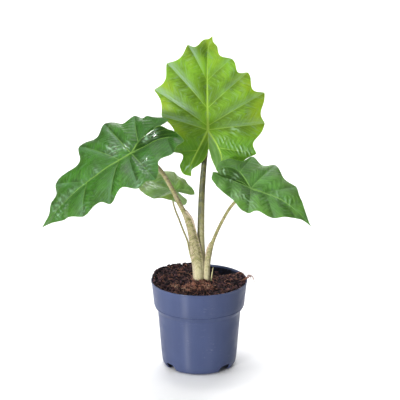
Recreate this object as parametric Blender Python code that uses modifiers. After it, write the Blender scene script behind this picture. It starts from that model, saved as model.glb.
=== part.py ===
"""Potted alocasia: four shield-shaped leaves with scalloped, waved edges, in a round grower's pot.

Metres, +Z up. The origin is the middle of the pot's flat underside, and -Y is the front.
Lengths below are in millimetres, and MM turns them into metres where a mesh is made.
"""
import math

import bmesh
import bpy
import numpy as np

MM = 0.001
SEAT = 0.3             # gap that two touching pieces keep
CLEARANCE = 0.45       # gap round a stalk where a neighbour's sheath is wrapped round it

# Pot
POT_HEIGHT = 112.0
RIM_RADIUS = 60.0
WALL = 1.1
FOOT_RADIUS = 40.5
FLOOR_UNDERSIDE = 10.0
FLOOR_TOP = 11.2
PAD_RADIUS = 14.0      # flat pad in the middle of the underside, level with the feet
POT_SIDES = 40
NOTCH_TURNS = (-142.5, -44.3, 37.5, 135.7)     # degrees from +X to each arched gap between the feet
NOTCH_OUTLINE = [                              # across and up, seen along the gap
    (-9.4, -2.0), (9.4, -2.0), (9.2, 3.5), (8.3, 6.6), (6.2, 8.6), (2.6, 9.5), (-2.6, 9.5), (-6.2, 8.6),
    (-8.3, 6.6), (-9.2, 3.5),
]
NOTCH_SPAN = (36.5, 57.0)                      # distance from the axis, from and to
DRAIN_RADIUS = 3.5     # round drain holes in the floor
DRAIN_CIRCLE = 28.0
DRAIN_COUNT = 6
DRAIN_TURN = math.radians(12.5)

# Outer wall of the pot, from the rim down: radius, height
POT_OUTSIDE = [
    (RIM_RADIUS, POT_HEIGHT), (RIM_RADIUS, 110.9), (59.3, 110.2), (56.7, 84.9), (55.7, 78.0),
    (51.4, 72.0), (49.1, 44.7), (47.5, 24.5), (46.2, 9.0), (45.4, 5.0), (43.8, 2.0),
    (42.2, 0.6), (FOOT_RADIUS, 0.0),
]
# Inside of the pot, from its floor up
POT_INSIDE = [
    (43.6, FLOOR_TOP), (45.3, 12.8), (46.4, 24.5), (48.0, 44.7), (50.3, 72.6),
    (54.6, 78.6), (55.6, 84.9), (58.1, 109.8), (RIM_RADIUS - WALL, POT_HEIGHT),
]

# Soil
SOIL_LEVEL = 106.0
SOIL_BOTTOM = FLOOR_TOP + SEAT
PAD_FLOOR = 1.2        # thickness of the floor over the pad
SOIL_RINGS = 12
STEM_CENTRE = (2.15, -0.5)
STEM_HOLE = (11.7, 9.9)            # half width and half depth of the hole that the stalks stand in
HOLE_FLOOR = 59.7
SCALE_HOLE_RADIUS = 1.3
SCALE_HOLE_FLOOR = 94.0
CORM_TOP = 92.0

# Leaf stalks from the corm up: x, y, z, half width, half depth
STALK_UPRIGHT = [
    (4.2, 2.4, CORM_TOP + SEAT, 4.0, 4.0), (4.6, 1.8, 108, 4.2, 4.2), (4.4, 1.2, 132, 4.2, 4.2),
    (2.6, 1.0, 151, 4.0, 4.0), (1.9, 2.2, 175, 3.8, 3.8), (3.1, 6.4, 217.5, 3.5, 3.5),
    (5.6, 12.0, 254, 3.3, 3.3), (8.2, 16.8, 279, 3.2, 3.2), (9.6, 18.6, 292, 3.1, 3.1),
    (10.5, 18.2, 300, 3.0, 3.0),
]
STALK_LEFT = [
    (-1.0, -1.6, CORM_TOP + SEAT, 6.4, 6.6), (-1.1, -1.6, 108, 6.7, 7.2), (-1.2, -1.8, 122, 7.0, 7.2),
    (-2.1, -2.0, 138, 7.5, 7.0), (-4.2, -2.2, 151, 7.1, 6.6), (-6.4, -2.4, 163, 6.4, 6.0),
    (-9.4, -3.6, 178, 5.4, 5.2), (-13.3, -6.2, 192.5, 4.9, 4.3), (-17.6, -8.2, 201.5, 4.0, 3.5),
    (-20.4, -9.4, 207.5, 3.3, 3.1), (-26.2, -12, 219.5, 3.0, 3.0), (-33.0, -15.5, 235, 2.8, 2.8),
    (-46.0, -19.5, 259.5, 2.7, 2.7), (-60.0, -25.5, 276, 2.6, 2.6), (-73.5, -29.0, 283.2, 2.6, 2.6),
]
STALK_RIGHT = [
    (9.7, -1.2, CORM_TOP + SEAT, 3.2, 4.6), (9.7, -1.4, 108, 3.4, 5.2), (9.7, -1.8, 120, 3.5, 5.0),
    (10.2, -2.2, 131, 3.7, 4.5), (11.2, -3.0, 141, 3.9, 4.1), (13.1, -4.2, 152, 4.0, 3.4),
    (14.9, -5.5, 158.5, 3.7, 3.0), (17.0, -7.0, 164.5, 2.3, 2.3), (19.4, -8.6, 171.5, 1.9, 1.9),
    (24.3, -12.2, 184.5, 1.8, 1.8),
    (30.2, -16.5, 198, 1.75, 1.75), (37.2, -23.0, 212.8, 1.7, 1.7), (44.2, -30.0, 224.1, 1.7, 1.7),
    (53.0, -38.4, 235.2, 1.7, 1.7), (59.8, -45.0, 241.5, 1.7, 1.7),
]
STALK_SMALL = [
    (-1.6, 5.6, CORM_TOP + SEAT, 1.4, 1.4), (-2.6, 5.9, 108, 1.4, 1.4), (-5.8, 7.4, 122, 1.35, 1.35),
    (-11.6, 9.4, 145, 1.3, 1.3), (-14.8, 10.6, 160.1, 1.25, 1.25), (-19.6, 14.0, 171.5, 1.2, 1.2),
    (-25.7, 18.6, 186.6, 1.15, 1.15), (-30.4, 22.5, 198, 1.1, 1.1), (-33.0, 26.0, 208, 1.1, 1.1),
    (-32.0, 28.9, 214.6, 1.1, 1.1),
]
CORM = [
    (2.1, -0.2, 60.0, 3.0, 2.6), (2.1, -0.2, 63.0, 7.0, 6.0), (2.1, -0.2, 70.0, 10.2, 8.4),
    (2.1, -0.2, 80.0, 11.1, 9.3), (2.1, -0.2, 88.0, 10.9, 9.2), (2.1, -0.2, CORM_TOP, 10.2, 8.8),
]
SCALE_LEAF = [
    (15.7, -2.2, SCALE_HOLE_FLOOR + SEAT, 0.7, 0.5), (15.7, -2.2, 104, 0.9, 0.5),
    (15.6, -2.2, 112, 0.95, 0.45), (15.9, -2.2, 119, 0.9, 0.4), (16.8, -2.2, 126, 0.6, 0.35),
    (17.4, -2.2, 129, 0.35, 0.3),
]

# Blades. Each is laid out flat, in millimetres from the stalk: u runs along the midrib to the tip, and
# v across it. roots are the places along the midrib where the paired veins leave it, from the tip back.
# A half lists its vein tips from the leaf's tip to the end of its rear lobe, then the dips of the margin
# between them (depth as a share of the distance, and the place where it is deepest), the rib of its rear
# lobe and its inner margin. rise is the angle at which both sides leave the midrib, and curl bends them
# back down. quilt is how far the blade stands up between its veins, edge how far the margin turns up or
# down there, and fold how far the inner margin is lifted.
LOBE_ROOTS = (0.45, 0.78, 1.0)     # where the lobe's veins leave its rib, as a share of its length
SINUS_SHARE = 0.35                 # share of a lobe's columns that reach the sinus
BLADE_THICKNESS = 0.9
RIB_THICKNESS = 2.4
VEIN_SHARE = 0.55                  # thickening of a side vein where it starts, as a share of the rib's
FULL_RIB = 30.0                    # distance from rib to margin at which the rib has its full thickness
FULL_RELIEF = 25.0                 # distance from rib to margin at which quilt and edge are in full
ROWS = 5                           # from the ribs to the margin
LOBE_ROWS = 3

BLADES = {
    "upright": dict(
        attach=(10.8, 12.0, 304.7), azimuth=90.0, elevation=72.4, roll=0.0, droop=3.0, droop_back=1.0,
        rise=0.25, curl=8.0, rounded=False, quilt=2.2, columns=6,
        roots=(117.5, 104.0, 62.0, 27.0, 5.0, 0.0),
        halves=(
            dict(side=1, edge=-1.6, fold=0.0,
                 tips=[(117.5, -4.5), (113.5, 5.3), (105.5, 24.2), (81.8, 49.4), (51.0, 65.9),
                       (16.9, 58.2), (-29.7, 38.5), (-50.1, 33.2), (-57.5, 21.0)],
                 dips=[(0.12, 0.5), (0.15, 0.55), (0.19, 0.5), (0.22, 0.5), (0.12, 0.5), (0.17, 0.5),
                       (0.08, 0.5), (-0.22, 0.5)],
                 rib=[(-20.5, 10.4), (-36.6, 18.6), (-49.2, 23.4), (-57.5, 21.0)],
                 inner=[(-23.6, -1.0), (-34.0, 2.6), (-42.9, 10.8), (-49.0, 17.5), (-57.5, 21.0)]),
            dict(side=-1, edge=-1.6, fold=0.0,
                 tips=[(117.5, -4.5), (105.1, -11.3), (87.5, -28.8), (68.8, -49.2), (45.7, -70.9),
                       (10.0, -70.8), (-28.5, -59.8), (-45.0, -38.0), (-51.8, -11.4)],
                 dips=[(0.08, 0.5), (0.22, 0.5), (0.26, 0.62), (0.24, 0.58), (0.12, 0.6), (0.18, 0.62),
                       (0.08, 0.5), (0.05, 0.5)],
                 rib=[(-16.3, -8.6), (-32.2, -15.5), (-44.0, -15.5), (-51.8, -11.4)],
                 inner=[(-23.6, -1.0), (-30.0, -3.0), (-36.7, -4.8), (-47.1, -9.6), (-51.8, -11.4)]),
        )),
    "left": dict(
        attach=(-84.0, -35.0, 289.1), azimuth=174.6, elevation=-31.0, roll=28.8, droop=3.0, droop_back=1.0,
        rise=0.20, curl=7.0, rounded=True, quilt=2.8, columns=6,
        roots=(155.9, 112.0, 68.0, 17.0, 0.0),
        halves=(
            dict(side=1, edge=-2.0, fold=5.0,
                 tips=[(155.9, 0.0), (118.0, 27.0), (84.6, 50.1), (43.0, 60.3), (0.4, 63.2),
                       (-23.1, 63.7), (-51.8, 40.6), (-71.4, 30.4)],
                 dips=[(-0.02, 0.5), (0.02, 0.5), (0.15, 0.7), (0.22, 0.5), (0.05, 0.5), (0.18, 0.6),
                       (0.05, 0.5)],
                 rib=[(-28.8, 2.8), (-50.3, 8.7), (-62.0, 17.0), (-71.4, 30.4)],
                 inner=[(-19.2, -12.6), (-27.0, -12.0), (-36.5, -10.0), (-48.0, -7.5), (-55.5, -0.5),
                        (-62.5, 8.5), (-68.0, 19.0), (-71.4, 30.4)]),
            dict(side=-1, edge=2.0, fold=0.0,
                 tips=[(155.9, 0.0), (131.0, -13.0), (114.6, -36.3), (71.1, -73.1), (29.6, -85.9),
                       (-16.3, -58.2), (-34.0, -45.5), (-59.5, -19.0)],
                 dips=[(0.03, 0.5), (0.10, 0.5), (0.40, 0.62), (0.33, 0.58), (0.16, 0.7), (0.03, 0.5),
                       (-0.06, 0.6)],
                 rib=[(-14.7, -13.4), (-30.0, -20.4), (-45.0, -24.0), (-59.5, -19.0)],
                 inner=[(-19.2, -12.6), (-27.0, -14.8), (-35.0, -15.6), (-46.0, -16.4), (-53.0, -16.8),
                        (-59.5, -19.0)]),
        )),
    "right": dict(
        attach=(63.7, -50.0, 248.6), azimuth=-17.3, elevation=-22.5, roll=-24.2, droop=3.0, droop_back=1.0,
        rise=0.20, curl=9.0, rounded=True, quilt=2.4, columns=5,
        roots=(86.2, 52.0, 18.0, 0.0),
        halves=(
            dict(side=1, edge=1.2, fold=0.0,
                 tips=[(86.2, 0.0), (62.5, 19.5), (45.4, 38.3), (8.8, 55.5), (-23.4, 47.2),
                       (-45.5, 25.5), (-52.0, 3.0)],
                 dips=[(0.04, 0.5), (0.0, 0.5), (0.13, 0.4), (0.28, 0.5), (0.12, 0.5), (-0.16, 0.5)],
                 rib=[(-12.1, 8.4), (-26.0, 16.5), (-40.0, 14.0), (-52.0, 3.0)],
                 inner=[(-13.0, 2.2), (-26.0, 3.4), (-38.0, 2.4), (-46.0, 0.6), (-52.0, 3.0)]),
            dict(side=-1, edge=-1.6, fold=0.0,
                 tips=[(86.2, 0.0), (64.8, -6.5), (43.0, -28.5), (14.4, -41.3), (-14.4, -31.5),
                       (-36.0, -24.0), (-50.0, -6.0)],
                 dips=[(0.04, 0.5), (0.06, 0.5), (0.16, 0.55), (-0.07, 0.5), (-0.05, 0.5), (-0.16, 0.5)],
                 rib=[(-12.0, -3.0), (-26.0, -8.0), (-40.0, -9.5), (-50.0, -6.0)],
                 inner=[(-13.0, 2.2), (-26.0, 1.6), (-38.0, 0.2), (-45.0, -2.0), (-50.0, -6.0)]),
        )),
    "small": dict(
        attach=(-29.8, 30.0, 220.9), azimuth=165.1, elevation=20.2, roll=16.6, droop=4.0, droop_back=1.0,
        rise=0.20, curl=9.0, rounded=True, quilt=2.0, columns=4,
        roots=(62.0, 32.0, 0.0),
        halves=(
            dict(side=1, edge=-1.0, fold=0.0,
                 tips=[(62.0, 0.0), (38.5, 25.5), (9.8, 32.5), (-8.0, 25.2), (-17.0, 24.8), (-21.6, 17.0)],
                 dips=[(-0.10, 0.5), (-0.12, 0.5), (0.06, 0.5), (-0.08, 0.5), (-0.18, 0.5)],
                 rib=[(-6.0, 9.0), (-12.5, 15.5), (-18.0, 18.5), (-21.6, 17.0)],
                 inner=[(-3.5, 0.6), (-9.0, 4.5), (-14.5, 7.5), (-19.5, 10.5), (-21.6, 17.0)]),
            dict(side=-1, edge=0.8, fold=0.0,
                 tips=[(62.0, 0.0), (38.0, -18.5), (12.4, -30.0), (-4.0, -21.5), (-16.0, -14.2),
                       (-22.9, -8.1)],
                 dips=[(-0.08, 0.5), (-0.08, 0.5), (0.05, 0.5), (0.03, 0.5), (-0.10, 0.5)],
                 rib=[(-6.0, -5.0), (-12.0, -8.0), (-18.0, -8.6), (-22.9, -8.1)],
                 inner=[(-3.5, 0.6), (-9.0, -0.6), (-15.0, -2.0), (-20.0, -3.5), (-22.9, -8.1)]),
        )),
}

COLOURS = {
    "pot": (0.118, 0.136, 0.240), "soil": (0.020, 0.012, 0.009), "corm": (0.16, 0.10, 0.055),
    "petiole_upright": (0.20, 0.19, 0.10), "petiole_left": (0.42, 0.42, 0.20),
    "petiole_right": (0.40, 0.41, 0.19), "petiole_small": (0.30, 0.33, 0.13),
    "blade_upright": (0.20, 0.42, 0.03), "blade_left": (0.05, 0.19, 0.03),
    "blade_right": (0.08, 0.23, 0.05), "blade_small": (0.09, 0.22, 0.04),
    "scale_leaf": (0.50, 0.46, 0.22),
}
ROUGHNESS = {"pot": 0.45, "soil": 0.95, "corm": 0.8}
LEAF_ROUGHNESS = 0.4


# Scene
def clear_scene():
    for thing in list(bpy.data.objects):
        bpy.data.objects.remove(thing, do_unlink=True)


def new_collection(name):
    collection = bpy.data.collections.new(name)
    bpy.context.scene.collection.children.link(collection)
    return collection


def material(name):
    made = bpy.data.materials.new(name)
    made.use_nodes = True
    shader = made.node_tree.nodes["Principled BSDF"]
    shader.inputs["Base Color"].default_value = (*COLOURS[name], 1.0)
    shader.inputs["Roughness"].default_value = ROUGHNESS.get(name, LEAF_ROUGHNESS)
    shader.inputs["Metallic"].default_value = 0.0
    return made


def add_mesh(name, points, faces, collection):
    """An object from points in millimetres, with its own material where it is a part."""
    mesh = bpy.data.meshes.new(name)
    mesh.from_pydata([tuple(float(c) * MM for c in p) for p in points], [], faces)
    thing = bpy.data.objects.new(name, mesh)
    collection.objects.link(thing)
    if name in COLOURS:
        mesh.materials.append(material(name))
    return thing


def make_cutter(thing):
    thing.hide_render = True
    thing.display_type = "WIRE"


def cut(thing, cutter):
    modifier = thing.modifiers.new("cut_" + cutter.name, "BOOLEAN")
    modifier.operation = "DIFFERENCE"
    modifier.solver = "EXACT"
    modifier.object = cutter


def clean(thing, merge):
    """Joins points that lie on each other, drops faces with no area, and turns the rest outwards."""
    work = bmesh.new()
    work.from_mesh(thing.data)
    bmesh.ops.remove_doubles(work, verts=work.verts, dist=merge * MM)
    bmesh.ops.dissolve_degenerate(work, edges=work.edges, dist=0.001 * MM)
    bmesh.ops.triangulate(work, faces=work.faces)
    bmesh.ops.recalc_face_normals(work, faces=work.faces)
    work.to_mesh(thing.data)
    work.free()


def shade_round(thing, sharp_degrees):
    thing.data.shade_smooth()
    thing.data.set_sharp_from_angle(angle=math.radians(sharp_degrees))


# Smooth curves through a few points
def through(points, count):
    """Catmull-Rom curve through the points, read at count places evenly spread over its spans."""
    p = np.asarray(points, float)
    p = np.vstack([2 * p[0] - p[1], p, 2 * p[-1] - p[-2]])
    spans = len(p) - 3
    place = np.linspace(0, spans, count)
    k = np.minimum(place.astype(int), spans - 1)
    t = (place - k)[:, None]
    a, b, c, d = p[k], p[k + 1], p[k + 2], p[k + 3]
    return 0.5 * (2 * b + (c - a) * t + (2 * a - 5 * b + 4 * c - d) * t**2 + (3 * b - a - 3 * c + d) * t**3)


def along(points, share):
    """Place at the given share of a broken line's length."""
    p = np.asarray(points, float)
    run = np.concatenate([[0], np.cumsum(np.linalg.norm(np.diff(p, axis=0), axis=1))])
    where = np.clip(share, 0, 1) * run[-1]
    return np.array([np.interp(where, run, p[:, i]) for i in range(p.shape[1])])


# Turned, lofted and straight bodies
def rod(name, radius, length, sides, place, cutters):
    """A round cutter that stands on +Z with its middle at the given place."""
    bpy.ops.mesh.primitive_cylinder_add(vertices=sides, radius=radius * MM, depth=length * MM)
    thing = bpy.context.object
    thing.name = name
    for owner in list(thing.users_collection):
        owner.objects.unlink(thing)
    cutters.objects.link(thing)
    thing.location = [c * MM for c in place]
    make_cutter(thing)
    return thing


def bar(name, outline, span, turn, cutters):
    """A straight cutter of one outline, which points away from +Z in the direction turn."""
    ahead = np.array([math.cos(turn), math.sin(turn), 0.0])
    across = np.array([-math.sin(turn), math.cos(turn), 0.0])
    points = [ahead * reach + across * c + np.array([0.0, 0.0, z]) for reach in span for c, z in outline]
    count = len(outline)
    faces = [tuple(range(count)), tuple(reversed(range(count, 2 * count)))]
    for i in range(count):
        j = (i + 1) % count
        faces.append((i, count + i, count + j, j))
    thing = add_mesh(name, points, faces, cutters)
    clean(thing, 0.001)
    make_cutter(thing)
    return thing


def turned(name, profile, sides, collection):
    """A closed profile of radius and height, turned about +Z."""
    mesh = bpy.data.meshes.new(name)
    edges = [(i, i + 1) for i in range(len(profile) - 1)]
    mesh.from_pydata([(r * MM, 0.0, z * MM) for r, z in profile], edges, [])
    thing = bpy.data.objects.new(name, mesh)
    collection.objects.link(thing)
    if name in COLOURS:
        mesh.materials.append(material(name))
    screw = thing.modifiers.new("turn", "SCREW")
    screw.axis = "Z"
    screw.steps = sides
    screw.render_steps = sides
    screw.use_merge_vertices = True
    screw.merge_threshold = 0.0001
    screw.use_smooth_shade = True
    return thing


def loft(name, stations, sides, rings, collection, grow=0.0, end_normal=None):
    """Ellipses carried along a path, closed by flat ends.

    Each station holds x, y, z, half width and half depth. An ellipse stands square to the path, with its
    width in the plane that faces the front. grow widens all of them, and end_normal turns the last one.
    """
    s = through(stations, rings)
    centre, size = s[:, :3], s[:, 3:] + grow
    tangent = np.gradient(centre, axis=0)
    tangent[0] = (0, 0, 1)
    if end_normal is not None:
        tangent[-1] = end_normal
    tangent /= np.linalg.norm(tangent, axis=1)[:, None]
    across = np.cross((0.0, 1.0, 0.0), tangent)
    across /= np.linalg.norm(across, axis=1)[:, None]
    deep = np.cross(tangent, across)
    angle = 2 * math.pi * np.arange(sides) / sides
    ring = (across[:, None] * (size[:, :1] * np.cos(angle))[..., None]
            + deep[:, None] * (size[:, 1:] * np.sin(angle))[..., None])
    points = (centre[:, None] + ring).reshape(-1, 3)
    faces = []
    for r in range(rings - 1):
        for i in range(sides):
            low, high, j = r * sides, (r + 1) * sides, (i + 1) % sides
            faces.append((low + i, low + j, high + j, high + i))
    faces.append(tuple(reversed(range(sides))))
    faces.append(tuple(range((rings - 1) * sides, rings * sides)))
    thing = add_mesh(name, points, faces, collection)
    clean(thing, 0.001)
    return thing


# Pot
def make_pot(parts, cutters):
    inside = [(0.0, PAD_FLOOR), (PAD_RADIUS - WALL, PAD_FLOOR), (PAD_RADIUS + 0.4, FLOOR_TOP)]
    underside = [(39.2, 0.0), (41.4, 1.3), (43.1, 3.2), (44.2, 5.8), (44.9, FLOOR_UNDERSIDE),
                 (PAD_RADIUS + 1.6, FLOOR_UNDERSIDE), (PAD_RADIUS, 0.0), (0.0, 0.0)]
    pot = turned("pot", inside + POT_INSIDE + POT_OUTSIDE + underside, POT_SIDES, parts)
    for number, turn in enumerate(NOTCH_TURNS):
        cut(pot, bar(f"foot_gap_{number}", NOTCH_OUTLINE, NOTCH_SPAN, math.radians(turn), cutters))
    for i in range(DRAIN_COUNT):
        angle = 2 * math.pi * i / DRAIN_COUNT + DRAIN_TURN
        place = (DRAIN_CIRCLE * math.cos(angle), DRAIN_CIRCLE * math.sin(angle), FLOOR_TOP)
        cut(pot, rod(f"drain_hole_{i}", DRAIN_RADIUS, 6.0, 12, place, cutters))
    return pot


# Soil
def wall_radius(z):
    heights = [p[1] for p in POT_INSIDE]
    radii = [p[0] for p in POT_INSIDE]
    return np.interp(z, heights, radii)


def soil_height(x, y):
    """Level, a mound round the stem, heaps at the left and back left, a hollow at the back right, lumps."""
    mound = 4.2 * np.exp(-((x - 2.0) ** 2 + (y + 2.0) ** 2) / 24.0**2)
    heap = 9.7 * np.exp(-((x + 48.0) ** 2 + (y - 20.0) ** 2) / 28.0**2)
    bank = 4.4 * np.exp(-((x + 36.0) ** 2 + (y - 46.0) ** 2) / 18.0**2)
    back = 6.5 * np.exp(-((x + 8.0) ** 2 + (y - 52.0) ** 2) / 20.0**2)
    hollow = -8.0 * np.exp(-((x - 27.0) ** 2 + (y - 40.0) ** 2) / 17.0**2)
    right = 4.0 * np.exp(-((x - 52.0) ** 2 + (y - 6.0) ** 2) / 14.0**2)
    lumps = (0.55 * np.sin(0.43 * x + 0.21 * y + 1.0) * np.cos(0.37 * y - 0.18 * x)
             + 0.40 * np.sin(0.81 * x - 0.55 * y + 2.0) * np.sin(0.69 * y + 0.47 * x))
    return SOIL_LEVEL + mound + heap + bank + back + hollow + right + lumps


def make_soil(parts, cutters):
    """Rings of points from the middle out over the top, then down the wall, and a flat bottom."""
    angle = 2 * math.pi * np.arange(POT_SIDES) / POT_SIDES
    rings = []
    edge_radius = RIM_RADIUS - WALL - SEAT - 0.9
    for share in np.linspace(0.09, 1.0, SOIL_RINGS):
        x = edge_radius * share * np.cos(angle)
        y = edge_radius * share * np.sin(angle)
        z = soil_height(x, y)
        if share == 1.0:
            limit = wall_radius(np.minimum(z, POT_HEIGHT)) - SEAT - 0.2
            x = limit * np.cos(angle)
            y = limit * np.sin(angle)
        rings.append(np.stack([x, y, z], 1))
    wall = [(wall_radius(z) - SEAT - 0.15, z) for z in (94.0, 85.5, 78.4, 72.4, 44.5, 24.3, 13.2)]
    pad = PAD_RADIUS - WALL - SEAT
    for radius, z in wall + [(43.2, SOIL_BOTTOM), (PAD_RADIUS, SOIL_BOTTOM), (pad, PAD_FLOOR + SEAT)]:
        rings.append(np.stack([radius * np.cos(angle), radius * np.sin(angle), np.full(POT_SIDES, z)], 1))
    top = np.array([[0.0, 0.0, float(soil_height(0.0, 0.0))]])
    bottom = np.array([[0.0, 0.0, PAD_FLOOR + SEAT]])
    points = np.vstack([top] + rings + [bottom])
    faces = []
    for i in range(POT_SIDES):
        j = (i + 1) % POT_SIDES
        faces.append((0, 1 + i, 1 + j))
        for r in range(len(rings) - 1):
            a, b = 1 + r * POT_SIDES, 1 + (r + 1) * POT_SIDES
            faces.append((a + i, b + i, b + j, a + j))
        last = 1 + (len(rings) - 1) * POT_SIDES
        faces.append((last + j, last + i, len(points) - 1))
    soil = add_mesh("soil", points, faces, parts)
    clean(soil, 0.001)
    hole_height = POT_HEIGHT + 20.0
    x, y = STEM_CENTRE
    straight = [(x, y, HOLE_FLOOR, *STEM_HOLE), (x, y, hole_height, *STEM_HOLE)]
    stem_hole = loft("stem_hole", straight, 32, 2, cutters)
    sx, sy = SCALE_LEAF[0][:2]
    straight = [(sx, sy, SCALE_HOLE_FLOOR, SCALE_HOLE_RADIUS, SCALE_HOLE_RADIUS),
                (sx, sy, hole_height, SCALE_HOLE_RADIUS, SCALE_HOLE_RADIUS)]
    scale_hole = loft("scale_hole", straight, 12, 2, cutters)
    for cutter in (stem_hole, scale_hole):
        make_cutter(cutter)
        cut(soil, cutter)
    return soil


# Blades
def blade_frame(leaf):
    """Directions along the midrib, across it and out of the upper face."""
    az, el, roll = (math.radians(leaf[key]) for key in ("azimuth", "elevation", "roll"))
    ahead = np.array([math.cos(el) * math.cos(az), math.cos(el) * math.sin(az), math.sin(el)])
    upright = np.array([-math.sin(el) * math.cos(az), -math.sin(el) * math.sin(az), math.cos(el)])
    level = np.cross(upright, ahead)
    out = math.cos(roll) * upright + math.sin(roll) * level
    return ahead, np.cross(out, ahead), out


def blade_place(leaf, u, v, h):
    """Bends the flat blade: it droops along its midrib, rises from it to both sides and curls back down."""
    ahead, side, out = blade_frame(leaf)
    k = np.where(u >= 0, leaf["droop"], leaf["droop_back"]) * MM
    turn = k * np.abs(u)
    x = np.sin(turn) / k * np.sign(u)
    z = -(1 - np.cos(turn)) / k
    lean = turn * np.sign(u)
    normal = np.sin(lean)[..., None] * ahead + np.cos(lean)[..., None] * out
    a, c = leaf["rise"], leaf["curl"] * MM
    y = (math.sin(a) - np.sin(a - c * np.abs(v))) / c
    w = (np.cos(a - c * np.abs(v)) - math.cos(a)) / c
    return (np.array(leaf["attach"]) + x[..., None] * ahead + z[..., None] * out
            + (np.sign(v) * y)[..., None] * side + (w + h)[..., None] * normal)


def dip_shape(t, rounded):
    """Shape of the margin between two vein tips: round bumps and hollows, or points with hollows between."""
    return np.sin(math.pi * t) ** 2 if rounded else 4 * t * (1 - t)


def half_columns(leaf, half):
    """Margin and rib points of each column and its place between two veins.

    For the rear lobe's columns it also gives the inner margin's points and how far they are lifted.
    """
    tips = np.array(half["tips"], float)
    roots = np.array(list(leaf["roots"]) + [-share for share in LOBE_ROOTS])
    rib = through([(0.0, 0.0)] + half["rib"], 24)
    sinus = np.array(half["inner"][0])
    inner = through(half["inner"], 24)
    margin, root, inside, phase, lifts = [], [], [], [], []
    for i in range(len(tips) - 1):
        chord = tips[i + 1] - tips[i]
        normal = np.array([-chord[1], chord[0]]) * half["side"]
        if i:
            shares = np.arange(leaf["columns"]) / leaf["columns"]
        else:
            shares = np.arange(leaf["columns"] - 1) / (leaf["columns"] - 1)
        for t in shares:
            depth, place = half["dips"][i]
            bow = depth * dip_shape(t ** (math.log(0.5) / math.log(place)), leaf["rounded"])
            margin.append(tips[i] + chord * t + normal * bow)
            root.append(roots[i] + (roots[i + 1] - roots[i]) * t)
            phase.append(t)
    margin.append(tips[-1])
    root.append(-1.0)
    phase.append(0.0)
    spine = []
    for d in root:
        if d >= 0:
            spine.append((d, d * tips[0][1] / tips[0][0]))
            continue
        spine.append(along(rib, -d))
        share = (-d - SINUS_SHARE) / (1 - SINUS_SHARE)
        inside.append(sinus * -d / SINUS_SHARE if share < 0 else along(inner, share))
        lifts.append(half["fold"] * math.sin(math.pi * max(share, 0.0)) ** 2)
    return np.array(margin), np.array(spine, float), inside, np.array(phase), lifts


def make_blade(name, leaf, parts):
    """Strips from the ribs out to the margin and in to the sinus, with an even wall and ribs below it."""
    u, v, h, ribs, faces = [], [], [], [], []

    def strip(rib_edge, outer_edge, rows, heights, weight, vein, flip):
        """One strip: heights gives the height of each column's points, weight its thickness at the rib."""
        first = len(u)
        for column in range(len(rib_edge)):
            reach = outer_edge[column] - rib_edge[column]
            for row in range(rows + 1):
                s = row / rows
                u.append(rib_edge[column][0] + reach[0] * s)
                v.append(rib_edge[column][1] + reach[1] * s)
                h.append(heights(column, s))
                at_rib = row == 0 or not reach.any()
                ribs.append(max(weight[column] if at_rib else 0.0, vein[column] * (1 - s)))
        for column in range(len(rib_edge) - 1):
            for row in range(rows):
                a = first + column * (rows + 1) + row
                b = a + rows + 1
                quad = (a, b, b + 1, a + 1)
                faces.append(tuple(reversed(quad)) if flip else quad)

    for half in leaf["halves"]:
        margin, spine, inside, phase, lifts = half_columns(leaf, half)
        length = np.linalg.norm(margin - spine, axis=1)
        weight = np.clip(length / FULL_RIB, 0.0, 1.0)
        relief = np.clip(length / FULL_RELIEF, 0.0, 1.0)
        vein = np.where(phase == 0, VEIN_SHARE, 0.0)

        def outer_height(column, s):
            t = math.pi * phase[column]
            up = leaf["quilt"] * math.sin(t) ** 2 * math.sin(math.pi * s)
            return relief[column] * (up + half["edge"] * s * s * math.cos(2 * t))

        strip(spine, margin, ROWS, outer_height, weight, vein, half["side"] < 0)
        start = len(spine) - len(inside) - 1
        inner_margin = np.array([(0.0, 0.0)] + inside)
        lifted = [0.0] + lifts
        strip(spine[start:], inner_margin, LOBE_ROWS, lambda column, s: lifted[column] * s * s,
              weight[start:], np.zeros(len(inner_margin)), half["side"] > 0)

    points = blade_place(leaf, np.array(u), np.array(v), np.array(h))
    blade = add_mesh(name, points, faces, parts)
    group = blade.vertex_groups.new(name="ribs")
    for i, weight in enumerate(ribs):
        group.add([i], weight, "REPLACE")
    clean(blade, 0.05)
    _, _, out = blade_frame(leaf)
    mean = sum((np.array(f.normal) * f.area for f in blade.data.polygons), np.zeros(3))
    if mean @ out < 0:
        blade.data.flip_normals()
    wall = blade.modifiers.new("wall", "SOLIDIFY")
    wall.thickness = RIB_THICKNESS * MM
    wall.vertex_group = "ribs"
    wall.thickness_vertex_group = BLADE_THICKNESS / RIB_THICKNESS
    wall.offset = -1.0
    wall.use_even_offset = False
    blade.data.shade_smooth()
    return blade


# Stalks
def stalk_stations(stations, leaf):
    """The stalk's stations, with a last one just under the blade's midrib."""
    _, _, out = blade_frame(leaf)
    end = np.array(leaf["attach"]) - out * (RIB_THICKNESS + SEAT)
    return stations + [(*end, stations[-1][3], stations[-1][4])], out


def make_stalks(parts, cutters):
    stalks = {"upright": STALK_UPRIGHT, "left": STALK_LEFT, "right": STALK_RIGHT, "small": STALK_SMALL}
    wrapped = {"left": ("upright", "small"), "right": ("upright", "left"), "small": ("upright",)}
    clearances = {}
    for key, stations in stalks.items():
        path, out = stalk_stations(stations, BLADES[key])
        path_rings = 2 * len(path)
        sides = 8 if key == "small" else 12
        thing = loft("petiole_" + key, path, sides, path_rings, parts, end_normal=out)
        shade_round(thing, 50)
        low = [list(s) for s in path]
        low[0][2] -= 2.0
        clearances[key] = loft("clear_of_" + key, low, sides, path_rings, cutters, grow=CLEARANCE)
        make_cutter(clearances[key])
    for key, inner in wrapped.items():
        for other in inner:
            cut(bpy.data.objects["petiole_" + key], clearances[other])


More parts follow.
